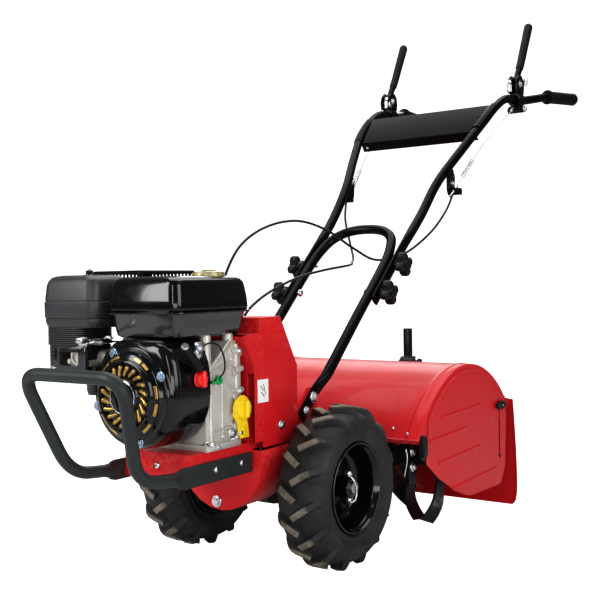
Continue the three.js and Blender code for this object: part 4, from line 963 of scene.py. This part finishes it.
def build_block_details():
    """Bosses, ribs, posts and bolts that dress the plain castings."""
    k = Maker()
    for x, y, z0, z1 in ((76, -296, 458, 520), (76, -226, 500, 520)):
        k.lathe((x, y, 0), Z, [(15, z0 - 34), (13, z0 - 8), (11.4, z0 + 6), (11.4, z1 - 4), (10, z1)], ALLOY, 32)
    for y0, z0, y1, z1 in ((-304, 446, -236, 506), (-290, 452, -222, 478), (-286, 330, -222, 330)):
        k.tube([(88.6, y0, z0), (88.6, y1, z1)], 3.4, ALLOY, 12)
    k.tube([(88.6, -262, 312), (88.6, -262, 438)], 3.0, ALLOY, 12)
    k.tube([(88.6, -298, 306), (88.6, -298, 442)], 4.4, ALLOY, 12)
    k.tube([(88.2, -216, 304), (88.2, -216, 498)], 5.0, ALLOY, 14)
    k.tube([(88.2, -304, 318), (89.4, -262, 322), (89.4, -222, 320)], 3.0, ALLOY, 12)
    k.lathe((88, -262, 452), X, [(20, -3), (20, 1.4), (17, 2.6), (8, 2.6)], ALLOY, 40)
    for z in (316, 352, 402, 446, 484):
        k.lathe((84, -226, z), Y, [(8.6, -6), (8.6, 24), (7.4, 26)], ALLOY, 24)
        k.bolt((84, -200, z), Y, 5)
        k.lathe((94, -214, z), X, [(8, -8), (8, 1.4), (6.8, 2.6), (2.6, 2.6)], ALLOY, 24)
    k.box((-78, -319, 290.8), (95, -213, 303), ALLOY, 3.6, 3)
    k.lathe((88, -236, 318), X, [(11, -2), (11, 3), (9.4, 4.4)], ALLOY, 28)
    # Cooling fins stand out round the leaning cylinder.
    lean = Matrix.Translation((0, 0, CRANK_Z)) @ Matrix.Rotation(radians(25), 4, "Y")
    for i in range(9):
        s = 68 + 10.6 * i
        part = bmesh.new()
        bmesh.ops.create_cube(part, size=1)
        part.transform(Matrix.Diagonal((3.0, 112, 116, 1)))
        bmesh.ops.bevel(part, geom=part.edges[:], offset=1.2, segments=2, profile=0.5, affect="EDGES")
        part.transform(lean @ Matrix.Translation((-s, -264, -2)))
        if s < 154:
            k.take(part, ALLOY)
        else:
            part.free()
    k.done("casting_details", "chassis", 0.6, steps=2)
    k = Maker()
    k.bolt((97, -308, 303), Z, 6)
    for x in (84, -66):
        for y in (-306, -228):
            k.bolt((x, y, 303), Z, 6.4)
    k.bolt((92.4, -236, 318), X, 7.2)
    k.bolt((96.6, -286, 296.4), X, 4.6)
    for z in (316, 402, 484):
        k.bolt((97, -214, z), X, 4.4)
    for y in (-296, -226):
        k.bolt((76, y, 512), Z, 6)
    k.bolt((0, -76, CRANK_Z), Y, 8)
    k.done("block_bolts", "chassis", 0.25)


def build_muffler_guard():
    k = Maker()
    x0, x1, y0, y1, top = -252, -103, -288, -112, 652
    def oblong(a0, a1, b0, b1):
        r = min(a1 - a0, b1 - b0) / 2 - 0.1
        return [(p[0], p[1]) for p in round_rect(a0, a1, b0, b1, r, 0, 4)]
    outline = [(p[0], p[1]) for p in round_rect(x0 + 4, x1 - 4, y0 + 4, y1 - 4, 10, 0, 5)]
    holes = [oblong(x, x + 40, y, y + 9) for x in (-244, -198, -152) for y in range(-278, -124, 16)]
    k.slab(outline, "z", top - 2, top, TUBE, holes)
    for x in (x0, x1 - 2):
        face = [(y0 + 8, 566), (y1 - 8, 566), (y1 - 8, top - 5), (y0 + 8, top - 5)]
        gaps = [oblong(y, y + 7.4, 596, 645) for y in range(-276, -124, 11)]
        k.slab(face, "x", x, x + 2, TUBE, gaps)
    for y in (y0, y1 - 2):
        face = [(x0 + 8, 566), (x1 - 8, 566), (x1 - 8, top - 5), (x0 + 8, top - 5)]
        gaps = [oblong(x, x + 7.4, 596, 645) for x in range(-240, -114, 11)]
        k.slab(face, "y", y, y + 2, TUBE, gaps)
    # Rounded corners and top edge join the five faces.
    for cx, cy, start in ((x1 - 8, y1 - 8, 0), (x0 + 8, y1 - 8, 90), (x0 + 8, y0 + 8, 180), (x1 - 8, y0 + 8, 270)):
        grid = []
        for i in range(7):
            t = radians(start + 15 * i)
            line = []
            for r, z in ((8, 566), (8, top - 5), (7.3, top - 2.4), (5.4, top - 0.6), (3.6, top)):
                line.append((cx + r * cos(t), cy + r * sin(t), z))
            grid.append(line)
        k.sheet(grid, 2, TUBE)
    edges = (((x0 + 8, y0), (x1 - 8, y0), (0, -1)), ((x1, y0 + 8), (x1, y1 - 8), (1, 0)),
             ((x1 - 8, y1), (x0 + 8, y1), (0, 1)), ((x0, y1 - 8), (x0, y0 + 8), (-1, 0)))
    for a, b, out in edges:
        grid = []
        for p in (a, b):
            line = []
            for inset, z in ((0, top - 5.2), (0.7, top - 2.4), (2.6, top - 0.6), (4.4, top)):
                line.append((p[0] - out[0] * inset, p[1] - out[1] * inset, z))
            grid.append(line)
        k.sheet(grid, 2, TUBE)
    k.done("muffler_guard_fine", "chassis", 0.3, ["muffler_guard"])


# ---- tine end -----------------------------------------------------------------------
HOOD_MIDDLE = (463, 130)  # Y and Z that the outline below turns round
HOOD_LINE = [(155, 295), (142, 288), (128, 283), (114, 280), (101, 279), (88, 279), (75, 279.5), (62, 281),
             (49, 284.5), (41, 287.5), (34, 291)]


def hood_arc(inset, steps=60, first=0, last=None):
    """The hood's outline in Y and Z, front to back."""
    points = []
    for degrees, r in HOOD_LINE[first:last]:
        t = radians(degrees)
        points.append((HOOD_MIDDLE[0] + (r - inset) * cos(t), HOOD_MIDDLE[1] + (r - inset) * sin(t), 0))
    return [(p.x, p.y) for p in spline(points, steps)]


def build_hood():
    k = Maker()
    half = 289
    stations = [(half, 2.6), (half - 0.5, 1.0), (half - 2, 0), (half - 20, 0), (half - 23, -0.2), (half - 25, -1.3),
                (half - 28, -1.9), (half - 31, -1.3), (half - 33, -0.2), (half - 36, 0)]
    line = stations + [(x, 0) for x in (200, 100, 0)]
    full = line + [(-x, i) for x, i in reversed(line[:-1])]
    grid = [[(x, y, z) for y, z in hood_arc(inset)] for x, inset in full]
    k.sheet(grid, -2, RED)
    lip = [(194, 254), (196.5, 256), (206, 245), (204.5, 243.5)]
    k.slab(lip, "x", -half, half, RED)
    end = hood_arc(1.5) + [(720, 297), (722, 286), (700, 268), (640, 240), (300, 236), (206, 240)]
    for s in (1, -1):
        k.slab(end, "x", s * (half - 2), s * half, RED)
    k.tube([(-half + 1, 716, 294), (half - 1, 716, 294)], 3, TUBE, 16)
    k.slab([(702, 295.4), (708, 301), (717, 302.8), (720.8, 301.4), (720.4, 300.2), (717, 301.2), (708.6, 299.6),
            (703, 293.6)], "x", -half + 6, half - 6, RED)
    k.done("hood_fine", "chassis", 0.6, ["tine_hood"], angle=40)
    k = Maker()
    for x, degrees in ((255, 152), (215, 150), (-255, 152), (-215, 150), (120, 153), (-120, 153)):
        t = radians(degrees)
        out = Vector((0, cos(t), sin(t)))
        k.bolt(Vector((x, 463, 130)) + out * 292.6, out, 3.6, ZINC, "dome", False)
    for s in (1, -1):
        k.bolt((289.2 * s, 300, 250), (s, 0, 0), 3.4, ZINC, "dome", False)
        k.bolt((289.2 * s, 606, 250), (s, 0, 0), 3.4, ZINC, "dome", False)
    k.done("hood_rivets", "chassis", 0.15)
    k = Maker()
    # A bracket and two bolts stand at each front corner, with a thin rod.
    for s in (1, -1):
        k.slab([(196, 150), (232, 146), (238, 214), (228, 246), (204, 244), (196, 214)], "x", s * 258, s * 262, TUBE)
        k.box((s * 256 - 10, 204, 236), (s * 256 + 10, 226, 250), TUBE, 1.5)
    k.done("hood_brackets", "chassis", 0.6)
    k = Maker()
    for s in (1, -1):
        k.bolt((s * 262.2, 214, 226), (s, 0, 0), 7.4)
        k.bolt((s * 262.2, 214, 190), (s, 0, 0), 7.4)
        k.tube(spline([(s * 258, 192, 234), (s * 262, 190, 214), (s * 256, 187, 172)], 16), 1.5, ZINC, 10)
    k.done("bracket_bolts", "chassis", 0.2)


def build_shield(side, end):
    k = Maker()
    x = 289.4
    outline = hood_arc(11, 50, 1, 10) + [(698, 262), (686, 122), (678, 104), (656, 78), (642, 74), (470, 78),
                                       (440, 84), (384, 104), (290, 152), (228, 196)]
    slot = [(654.6, 156), (654.6, 286), (653, 290), (650, 291), (647, 290), (645.4, 286), (645.4, 156), (647, 152),
            (650, 151), (653, 152)]
    k.slab(outline, "x", x, x + 2, RED, [slot])
    # The pressed outline stands a little proud all round.
    rolled = [Vector((x + 2.0, y, z)) for y, z in hood_arc(14, 50, 1, 10)]
    k.tube(rolled, 2.4, RED, 10, [(0.8, 1)] * len(rolled))
    for y, z, length in ((301, 292, 226), (246, 244, 196), (287, 186, 240), (361, 112, 268)):
        t = radians(1.5)
        a = Vector((x + 2.2, y + 6, z + 2))
        b = a + Vector((0, (length - 10) * cos(t), (length - 10) * sin(t)))
        path, radii = domed([a, a.lerp(b, 0.5), b], 5.2)
        k.tube(path, radii, RED, 16, [(0.42, 1)] * len(path))
    k.done("shield_fine_" + end, "shield_" + end, 0.6, ["side_shield_" + end], side < 0, 40)
    k = Maker()
    knob = []
    for i in range(40):
        t = 2 * pi * i / 40
        r = 12 + 18 * abs(cos(t)) ** 1.6
        knob.append((650 + r * cos(t) * 0.98, 286 + (11 + 3 * abs(cos(t))) * sin(t)))
    k.slab(knob, "x", x + 4.4, x + 12.4, PLASTIC)
    k.lathe((x + 2, 650, 286), X, [(9, 0.2), (9, 3), (8, 11), (6.4, 12)], PLASTIC, 28)
    k.lathe((x + 2, 650, 286), X, [(3, 0.2), (3, 12.6)], ZINC, 16)
    k.done("shield_knob_" + end, "chassis", 1.6, (), side < 0, 35, 3)
    k = Maker()
    k.lathe((x + 2.1, 650, 150), X, [(5, 0), (5, 1.3), (4.2, 1.8)], PLASTIC, 20)
    k.slab([(196, 210), (214, 206), (228, 236), (224, 262), (204, 266), (192, 240)], "x", x + 0.6, x + 7, PLASTIC)
    k.box((x + 4, 198, 216), (x + 12, 220, 256), PLASTIC, 3, 3)
    k.done("shield_clip_" + end, "shield_" + end, 1.2, (), side < 0, 35, 3)


def build_flap():
    k = Maker()
    front = [(719.6, 295.4), (721.4, 288), (732, 220), (742, 130), (745, 58), (741, 24), (734, 2.5)]
    line = [(p.x, p.y) for p in spline([(y, z, 0) for y, z in front], 40)]
    rows = []
    for x in (-303, -302, -298, -292, -286, -200, -100, 0, 100, 200, 286, 292, 298, 302, 303):
        edge = max(0, abs(x) - 286) / 17
        rows.append([(x, y - 3 * edge ** 2, z if z > 40 else z + 15 * edge ** 3 * (40 - z) / 37) for y, z in line])
    k.sheet(rows, 2, RED)
    for x in (-200, 0, 200):
        k.lathe((x, 716, 294), X, [(4, -30), (6, -30), (6.2, -28), (6.2, 28), (6, 30), (4, 30), (4, -30)], RED, 28)
        k.slab([(718, 291), (721.8, 297), (727, 281), (723.6, 277)], "x", x - 30, x + 30, RED)
    k.done("flap_fine", "flap", 0.5, ["rear_flap"])
    k = Maker()
    for x in (-200, 0, 200):
        for dx in (-18, 18):
            out = Vector((0, 0.97, 0.24))
            k.bolt(Vector((x + dx, 727.4, 283)), out, 3.2, ZINC, "dome", False)
    k.done("flap_rivets", "flap", 0.15)


def build_stake():
    k = Maker()
    k.box((-12, 679, 26), (12, 691, 484), TUBE, 2.4, 3)
    k.done("stake_fine", "stake", 0, ["depth_stake"])
    k = Maker()
    for z0, z1 in ((352, 404),):
        for lo, hi in (((-18, 672, z0), (-12.8, 698, z1)), ((12.8, 672, z0), (18, 698, z1)),
                       ((-18, 691.8, z0), (18, 698, z1)), ((-18, 672, z0), (18, 678.2, z1))):
            k.box(lo, hi, IRON, 1.4)
    k.box((-24, 690, 352), (24, 697, 376), IRON, 2.4)
    k.box((-20, 668, 384), (24, 676, 400), IRON, 3)
    k.lathe((24, 684, 389), X, [(5, -10), (5, 8), (9, 8), (9.6, 10), (9.6, 16), (8, 18)], PLASTIC, 24)
    k.tube(spline([(-18, 684, 392), (-26, 684, 392), (-30, 680, 386), (-29, 676, 376)], 14), 2.6, ZINC, 12)
    k.done("stake_clamp_fine", "chassis", 0.5, ["stake_bracket"])
    k = Maker()
    foot = [[(x, y, z) for x, y, z in round_rect(-26 + i, 26 - i, 660 + i, 706 - i, 6, z, 4)]
            for z, i in ((338, 0), (344, 1), (352, 8), (354, 9))]
    k.loft(foot, RED)
    k.done("stake_foot_plate", "chassis", 0.6)


TINE_AXIS = (440, 170)  # Y and Z of the tine shaft


def build_tines(side, end):
    k = Maker()
    middle = Vector((0, *TINE_AXIS))
    k.lathe(middle, X, [(14.4, 36), (21, 36), (22, 38), (22, 260), (21, 262), (14.4, 262), (14.4, 36)], IRON, 32)
    bolts = []
    for x, hand, start in ((52, 1, 32), (134, 1, -8), (226, -1, -20)):
        k.lathe(middle, X, [(20, x - 6), (54, x - 6), (55, x - 5), (55, x - 1), (54, x), (20, x)], IRON, 48)
        for i in range(4):
            flip = -hand if i % 2 else hand
            safe = 1 if x < 100 else (-1 if x > 200 else flip)
            turn = radians(180 + start + 90 * i)
            rings = []
            for n in range(15):
                s = n / 14
                r = 22 + 142.5 * s
                over = max(0, s - 0.55) / 0.45
                out = safe * 28 * over ** 1.6
                wide = 15 + 18 * s + 6 * over
                back = -14 * s ** 2
                r -= 6 * over ** 2
                thick = 3.2 * (1 - 0.45 * over)
                ring = []
                for w, d in ((-wide, -thick), (wide, -thick), (wide, thick), (-wide, thick)):
                    tilt = -safe * 0.9 * over
                    dx = d * cos(tilt)
                    dr = -d * sin(tilt)
                    y, z = w + back, r + dr
                    y, z = y * cos(turn) - z * sin(turn), y * sin(turn) + z * cos(turn)
                    ring.append((x + 3.2 + out + dx, middle.y + y, middle.z + z))
                rings.append(ring)
            k.loft(rings, BLADE)
            for r, w in ((38, -7), (46, 7)):
                y, z = w * cos(turn) - r * sin(turn), w * sin(turn) + r * cos(turn)
                bolts.append((x + 6.4, middle.y + y, middle.z + z))
    k.done("tines_fine_" + end, "rotor", 0.9, ["tines_" + end], side < 0)
    k = Maker()
    for place in bolts:
        k.bolt(place, X, 5, STEEL, "hex", False)
    k.done("tine_bolts_" + end, "rotor", 0.2, (), side < 0)


# ---- handlebar ----------------------------------------------------------------------
LEG_X = 115
FOLD = (292, 593)
LOCK = (367, 662)
UPPER_TUBE = [(134, 270, 573), (134, 340, 637), (134.6, 430, 719), (138, 514, 795), (146, 594, 884), (176, 690, 982),
              (200, 775, 1062), (208, 850, 1118), (211, 910, 1146),
              (216, 1000, 1153), (233, 1080, 1168), (252, 1150, 1182), (283, 1284, 1190)]


def build_lower_bar():
    k = Maker()
    half = [(LEG_X, -10, 322), (LEG_X - 1, 200, 517), (LEG_X - 3, 372, 676), (LEG_X - 10, 404, 706), (92, 431, 731),
            (66, 450, 749), (34, 458, 757), (0, 460, 759)]
    path = spline(half + [(-x, y, z) for x, y, z in half[-2::-1]], 240)
    flat, moved = [], []
    for p in path:
        t = min(max((p.z - 374) / 40, 0), 1)
        t = t * t * (3 - 2 * t)
        flat.append((0.34 + 0.66 * t, 1.3 - 0.3 * t))
        moved.append(Vector((copysign(abs(p.x) - 8.4 * (1 - t), p.x), p.y, p.z)) if p.z < 420 else p)
    k.tube(moved, 12.5, TUBE, 28, flat)
    k.done("lower_bar_fine", "chassis", 0.5, ["lower_handlebar"], angle=50)
    k = Maker()
    for s in (1, -1):
        k.bolt((s * 111.2, 33, 362), (s, 0, 0), 8.6)
        k.bolt((s * 111.2, 4, 335), (s, 0, 0), 7)
        k.lathe((s * 98.8, 33, 362), (-s, 0, 0), [(9, 0), (9, 6), (6, 8)], ZINC, 6)
    k.done("leg_bolts", "chassis", 0.25)


def build_upper_bar(side, end):
    k = Maker()
    path = spline(UPPER_TUBE, 150)
    flat = []
    for p in path:
        t = min(max((p.y - 410) / 60, 0), 1)
        t = t * t * (3 - 2 * t)
        flat.append((0.5 + 0.5 * t, 1.22 - 0.22 * t))
    k.tube(path, 12.5, TUBE, 28, flat)
    k.done("upper_bar_fine_" + end, "handle", 0.8, ["upper_handlebar_" + end], side < 0)


def build_knob(which, place, through, side, end):
    """A four-lobed hand knob on its bolt, which passes through both tubes."""
    y, z = place
    k = Maker()
    outline = []
    for i in range(96):
        t = 2 * pi * i / 96
        r = 25 + 7.4 * cos(4 * t) - 1.2 * cos(8 * t)
        outline.append((y + r * cos(t + 0.35), z + r * sin(t + 0.35)))
    rings = []
    for grow, x in ((0.86, 152), (0.95, 153.6), (1, 157), (1, 168), (0.96, 172), (0.86, 174.6), (0.7, 175.6)):
        rings.append([(x, y + (a - y) * grow, z + (b - z) * grow) for a, b in outline])
    k.loft(rings, PLASTIC)
    k.lathe((0, y, z), X, [(10, 141), (11.4, 142), (12.6, 147), (16, 153)], PLASTIC, 32)
    k.lathe((0, y, z), X, [(14, 174.6), (13.4, 178.4), (11, 179.8), (4, 180)], PLASTIC, 32)
    k.lathe((0, y, z), X, [(3.5, 96), (3.5, 150)], ZINC, 16)
    if through:
        head = [(3.6, 102), (9.4, 102), (9.6, 100.6), (9.0, 97.6), (7.0, 95), (3.6, 93.4)]
        k.lathe((0, y, z), X, head, ZINC, 32)
    k.done(f"{which}_knob_fine_{end}", f"{which}_knob_{end}", 0, [f"{which}_knob_{end}"], side < 0,
           50)


def build_console():
    k = Maker()
    low_edge, high_edge = Vector((0, 746.8, 1036)), Vector((0, 838, 1121))
    d = (high_edge - low_edge).normalized()
    n = Vector((0, d.z, -d.y))
    outer = [(839.2, 1119.9), (838, 1121), (746.6, 1036.2), (746.2, 1035), (746.8, 1033.8), (770, 1012.6),
             (771.4, 1014.2), (751.4, 1034.8), (751, 1036.4), (839.6, 1119)]
    def half(y):
        return 183 + 17 * (y - 746) / 93
    k.loft([[(s * half(y), y, z) for y, z in outer] for s in (-1, 1)], PANEL)
    # Each end wraps round the front of its tube.
    path = [p for p in spline(UPPER_TUBE, 200) if 744 < p.y < 840]
    for s in (1, -1):
        grid = []
        for p, (along, _, _) in zip(path, frames(path)):
            front = (-n + along * n.dot(along)).normalized()
            across = Vector((1, 0, 0))
            across = (across - along * across.dot(along) - front * across.dot(front)).normalized()
            line = []
            for i in range(15):
                t = radians(-96 + 192 * i / 14)
                q = p + (front * cos(t) + across * sin(t)) * 14.4
                line.append((s * q.x, q.y, q.z))
            grid.append(line)
        k.sheet(grid, 1.6, PANEL)
    k.done("console_fine", "handle", 0.7, ["console_plate"], steps=3)
    k = Maker()
    for s in (1, -1):
        k.bolt((s * 168, 758, 1023), (0, -0.7, -0.7), 4.2, ZINC, "dome", False)
    k.done("console_screws", "handle", 0.2)


LEVER_AXIS = (976, 1197)  # Y and Z of the clutch levers' pivots


def build_controls(side, end):
    grip_from, grip_to = Vector((250, 1142, 1181)), Vector((284, 1288, 1190.2))
    k = Maker()
    along = (grip_to - grip_from).normalized()
    length = (grip_to - grip_from).length
    profile = [(12.9, 0), (20.6, 0.2), (22, 1.6), (22, 5), (20.6, 7), (18.4, 9)]
    ribs = 14
    for i in range(ribs):
        s = 16 + (length - 40) * i / ribs
        profile += [(18, s), (18.8, s + 1.4), (18.8, s + 3.6), (18, s + 5)]
    profile += [(18, length - 14), (19.4, length - 11), (19.4, length - 6), (17.4, length - 1.8), (13, length)]
    k.lathe(grip_from, along, profile, RUBBER, 40)
    k.done("grip_fine_" + end, "handle", 0, ["grip_" + end], side < 0, 40)
    # The clamp, its post with two cheeks, and the bright trip plate between them.
    k = Maker()
    clamp = [(12.8, 964), (20, 964), (21.4, 965.4), (21.4, 1000.6), (20, 1002), (12.8, 1002)]
    k.lathe((215.4, 0, 1152.6), Y, clamp + clamp[:1], TUBE, 40)
    k.box((201, 966, 1166), (231, 1000, 1182), TUBE, 3, 3)
    for x in (201, 225.6):
        cheek = [(952, 1170), (1004, 1170), (1008, 1190), (1004, 1212), (990, 1224), (970, 1224), (954, 1210),
                 (948, 1190)]
        k.slab(cheek, "x", x, x + 4.6, TUBE)
    k.box((201, 990, 1172), (230, 1008, 1208), TUBE, 4, 3)
    k.lathe((203, 980, 1206), X, [(15, 0), (17, 2), (17, 23), (15, 25)], TUBE, 36)
    k.box((197, 962, 1118), (234, 1000, 1134), TUBE, 5, 3)
    k.lathe((190, 982, 1124), X, [(8.6, 0), (10, 2), (10, 48), (8.6, 50)], TUBE, 28)
    k.done("lever_mount_fine_" + end, "handle", 0.7, ["lever_mount_" + end], side < 0)
    k = Maker()
    for s, x in ((1, 230.2), (-1, 201)):
        k.bolt((x, *LEVER_AXIS), (s, 0, 0), 6)
    k.bolt((240, 982, 1124), X, 6.4)
    k.box((203, 945, 1172), (216, 950, 1196), ZINC, 2, 2)
    k.box((197, 950, 1176), (201.4, 966, 1194), ZINC, 1.6, 2)
    k.lathe((208, 950, 1202), (0, -1, 0.2), [(6, -2), (6, 3), (4, 5)], ZINC, 24)
    coil = []
    for i in range(90):
        t = i / 89
        coil.append(Vector((238 + 5.5 * cos(12 * pi * t), 996 + 6 * t + 5.5 * sin(12 * pi * t),
                            1194 + 22 * t)))
    k.tube(coil, 1.2, ZINC, 8)
    k.tube([Vector((214, 960, 1126)), Vector((213, 948, 1116))], 4.2, ZINC, 16)
    k.done("lever_fittings_" + end, "handle", 0.3, (), side < 0)
    # The lever: a flattened eye on the pivot, a bent rod, and a sleeve over its upper half.
    k = Maker()
    k.lathe((216, *LEVER_AXIS), X, [(4.6, -6.4), (10.4, -6.4), (11.2, -5.4), (11.2, 5.4), (10.4, 6.4), (4.6, 6.4),
                                          (4.6, -6.4)], TUBE, 32)
    rod = spline([(216, 978, 1200), (216, 992, 1228), (216, 1017, 1266), (216, 1050, 1328), (216, 1082, 1388)], 40)
    k.tube(rod, 9.6, TUBE, 22)
    k.slab([(968, 1197), (974, 1206), (953, 1216), (948, 1210)], "x", 213, 219, TUBE)
    k.done("lever_fine_" + end, "lever_" + end, 0.5, ["clutch_lever_" + end], side < 0)
    k = Maker()
    upper = rod[10:]
    path, radii = domed(upper, 12.4, False, True)
    radii = [r * (0.94 + 0.1 * min(1, i / (len(radii) - 7))) for i, r in enumerate(radii)]
    radii[0] *= 0.9
    k.tube(path, radii, RUBBER, 24)
    k.done("lever_sleeve_" + end, "lever_" + end, 0, (), side < 0, 50)


CABLES = {
    "left": [(172, 640, 862), (184, 560, 800), (165, 500, 740), (110, 462, 690), (60, 410, 676), (38, 330, 706),
             (20, 240, 748), (2, 140, 768), (-12, 30, 750), (-16, -60, 706), (-14, -112, 650), (-14, -134, 600),
             (-14, -137, 552.5)],
    "right": [(-172, 640, 862), (-152, 600, 801), (-112, 560, 728), (-78, 520, 686), (-56, 476, 672), (-20, 420, 668),
              (16, 340, 662), (22, 220, 650), (26, 120, 636), (34, 20, 614), (42, -60, 590), (46, -112, 566),
              (47, -130, 552.5)],
}


def build_cable(side, end):
    k = Maker()
    path = spline(CABLES[end], 220)
    k.tube(path, 3.0, PLASTIC, 14)
    piece = k.done("cable_fine_" + end, None, 0, ["clutch_cable_" + end])
    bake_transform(piece)
    k = Maker()
    # The stay on the tube, the cable's adjuster, and the bare wire with its spring.
    k.slab([(618, 905), (648, 934), (668, 905), (664, 866), (628, 850), (620, 862)], "x", 160, 163, TUBE)
    k.box((156, 632, 852), (190, 656, 870), TUBE, 2, 2)
    k.box((150, 626, 900), (168, 652, 922), TUBE, 3, 2)
    k.done("cable_stay_" + end, "handle", 0.7, (), side < 0)
    k = Maker()
    out = Vector((5, 74, 62)).normalized()
    low_end = Vector((172, 640, 862))
    k.lathe(low_end, out, [(3.6, -26), (4.6, -24), (4.6, -8), (7, -8), (7, -3), (4.6, -3), (4.6, 8), (7, 8), (7, 13),
                           (3.8, 13), (3.8, 22)], ZINC, 20)
    top = Vector((213, 948, 1116))
    a = low_end + out * 22
    wire = spline([tuple(a), (178, 700, 918), (192, 790, 1002), (204, 880, 1072), tuple(top)], 60)
    k.tube(wire, 1.3, ZINC, 10)
    coil, turns = [], 11
    for i in range(180):
        t = i / 179
        p = wire[6].lerp(wire[18], t)
        f = (wire[18] - wire[6]).normalized()
        u = f.orthogonal().normalized()
        v = f.cross(u)
        angle = 2 * pi * turns * t
        coil.append(p + u * 5.4 * cos(angle) + v * 5.4 * sin(angle))
    k.tube(coil, 1.1, ZINC, 8)
    k.bolt((150, 639, 911), (-1, 0, 0), 5.4)
    k.bolt((163.2, 650, 884), X, 4.4)
    k.done("cable_fittings_" + end, "handle", 0.2, (), side < 0)


# ---- CAD nodes that stay ------------------------------------------------------------
KEPT = {
    "chassis_frame": (RED, 0.8), "transmission_case": (RED, 1.4), "belt_cover": (RED, 1.8),
    "engine_block": (ALLOY, 1.2), "crankcase_cover": (ALLOY, 1.2), "cylinder_head": (ALLOY, 1.0),
    "crankshaft": (STEEL, 0.6), "flywheel": (ALLOY, 0.6), "crank_pulley": (STEEL, 0.5),
    "driven_pulley": (STEEL, 0.5), "drive_belt": (BELT, 0.4), "idler_arm": (STEEL, 0.6), "muffler": (STEEL, 1.0),
    "gearcase": (IRON, 1.2), "drive_shaft": (STEEL, 0.5), "wheel_axle": (STEEL, 0.6), "tine_gearcase": (IRON, 1.2),
    "tine_shaft": (STEEL, 0.5),
}


def dress_kept_nodes():
    """The plain CAD nodes get their finish, welded corners and rounded edges."""
    for name, (m, width) in KEPT.items():
        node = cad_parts[name]
        node.data.materials.clear()
        node.data.materials.append(m)
        weld = node.modifiers.new("weld", "WELD")
        weld.merge_threshold = 0.00002
        soften(node, width, 30, 2)
        node.modifiers["edges"].harden_normals = False
        smooth_again(node)


def smooth_again(node):
    """Smooth shading that keeps the real corners, in place of the imported one."""
    mesh = node.data
    if "custom_normal" in mesh.attributes:
        mesh.attributes.remove(mesh.attributes["custom_normal"])
    if "sharp_edge" in mesh.attributes:
        mesh.attributes.remove(mesh.attributes["sharp_edge"])
    mesh.shade_smooth()


build_bumper()
build_cover_front()
build_sticker()
build_tank()
build_air_cleaner()
build_carburettor()
build_fan_cover()
build_recoil()
build_small_engine_parts()
build_block_details()
build_muffler_guard()
build_hood()
build_flap()
build_stake()
build_lower_bar()
build_console()
for side, end in SIDES:
    build_tyre(side, end)
    build_rim(side, end)
    build_shield(side, end)
    build_tines(side, end)
    build_upper_bar(side, end)
    build_knob("lower", FOLD, True, side, end)
    build_knob("upper", LOCK, False, side, end)
    build_controls(side, end)
    build_cable(side, end)
dress_kept_nodes()
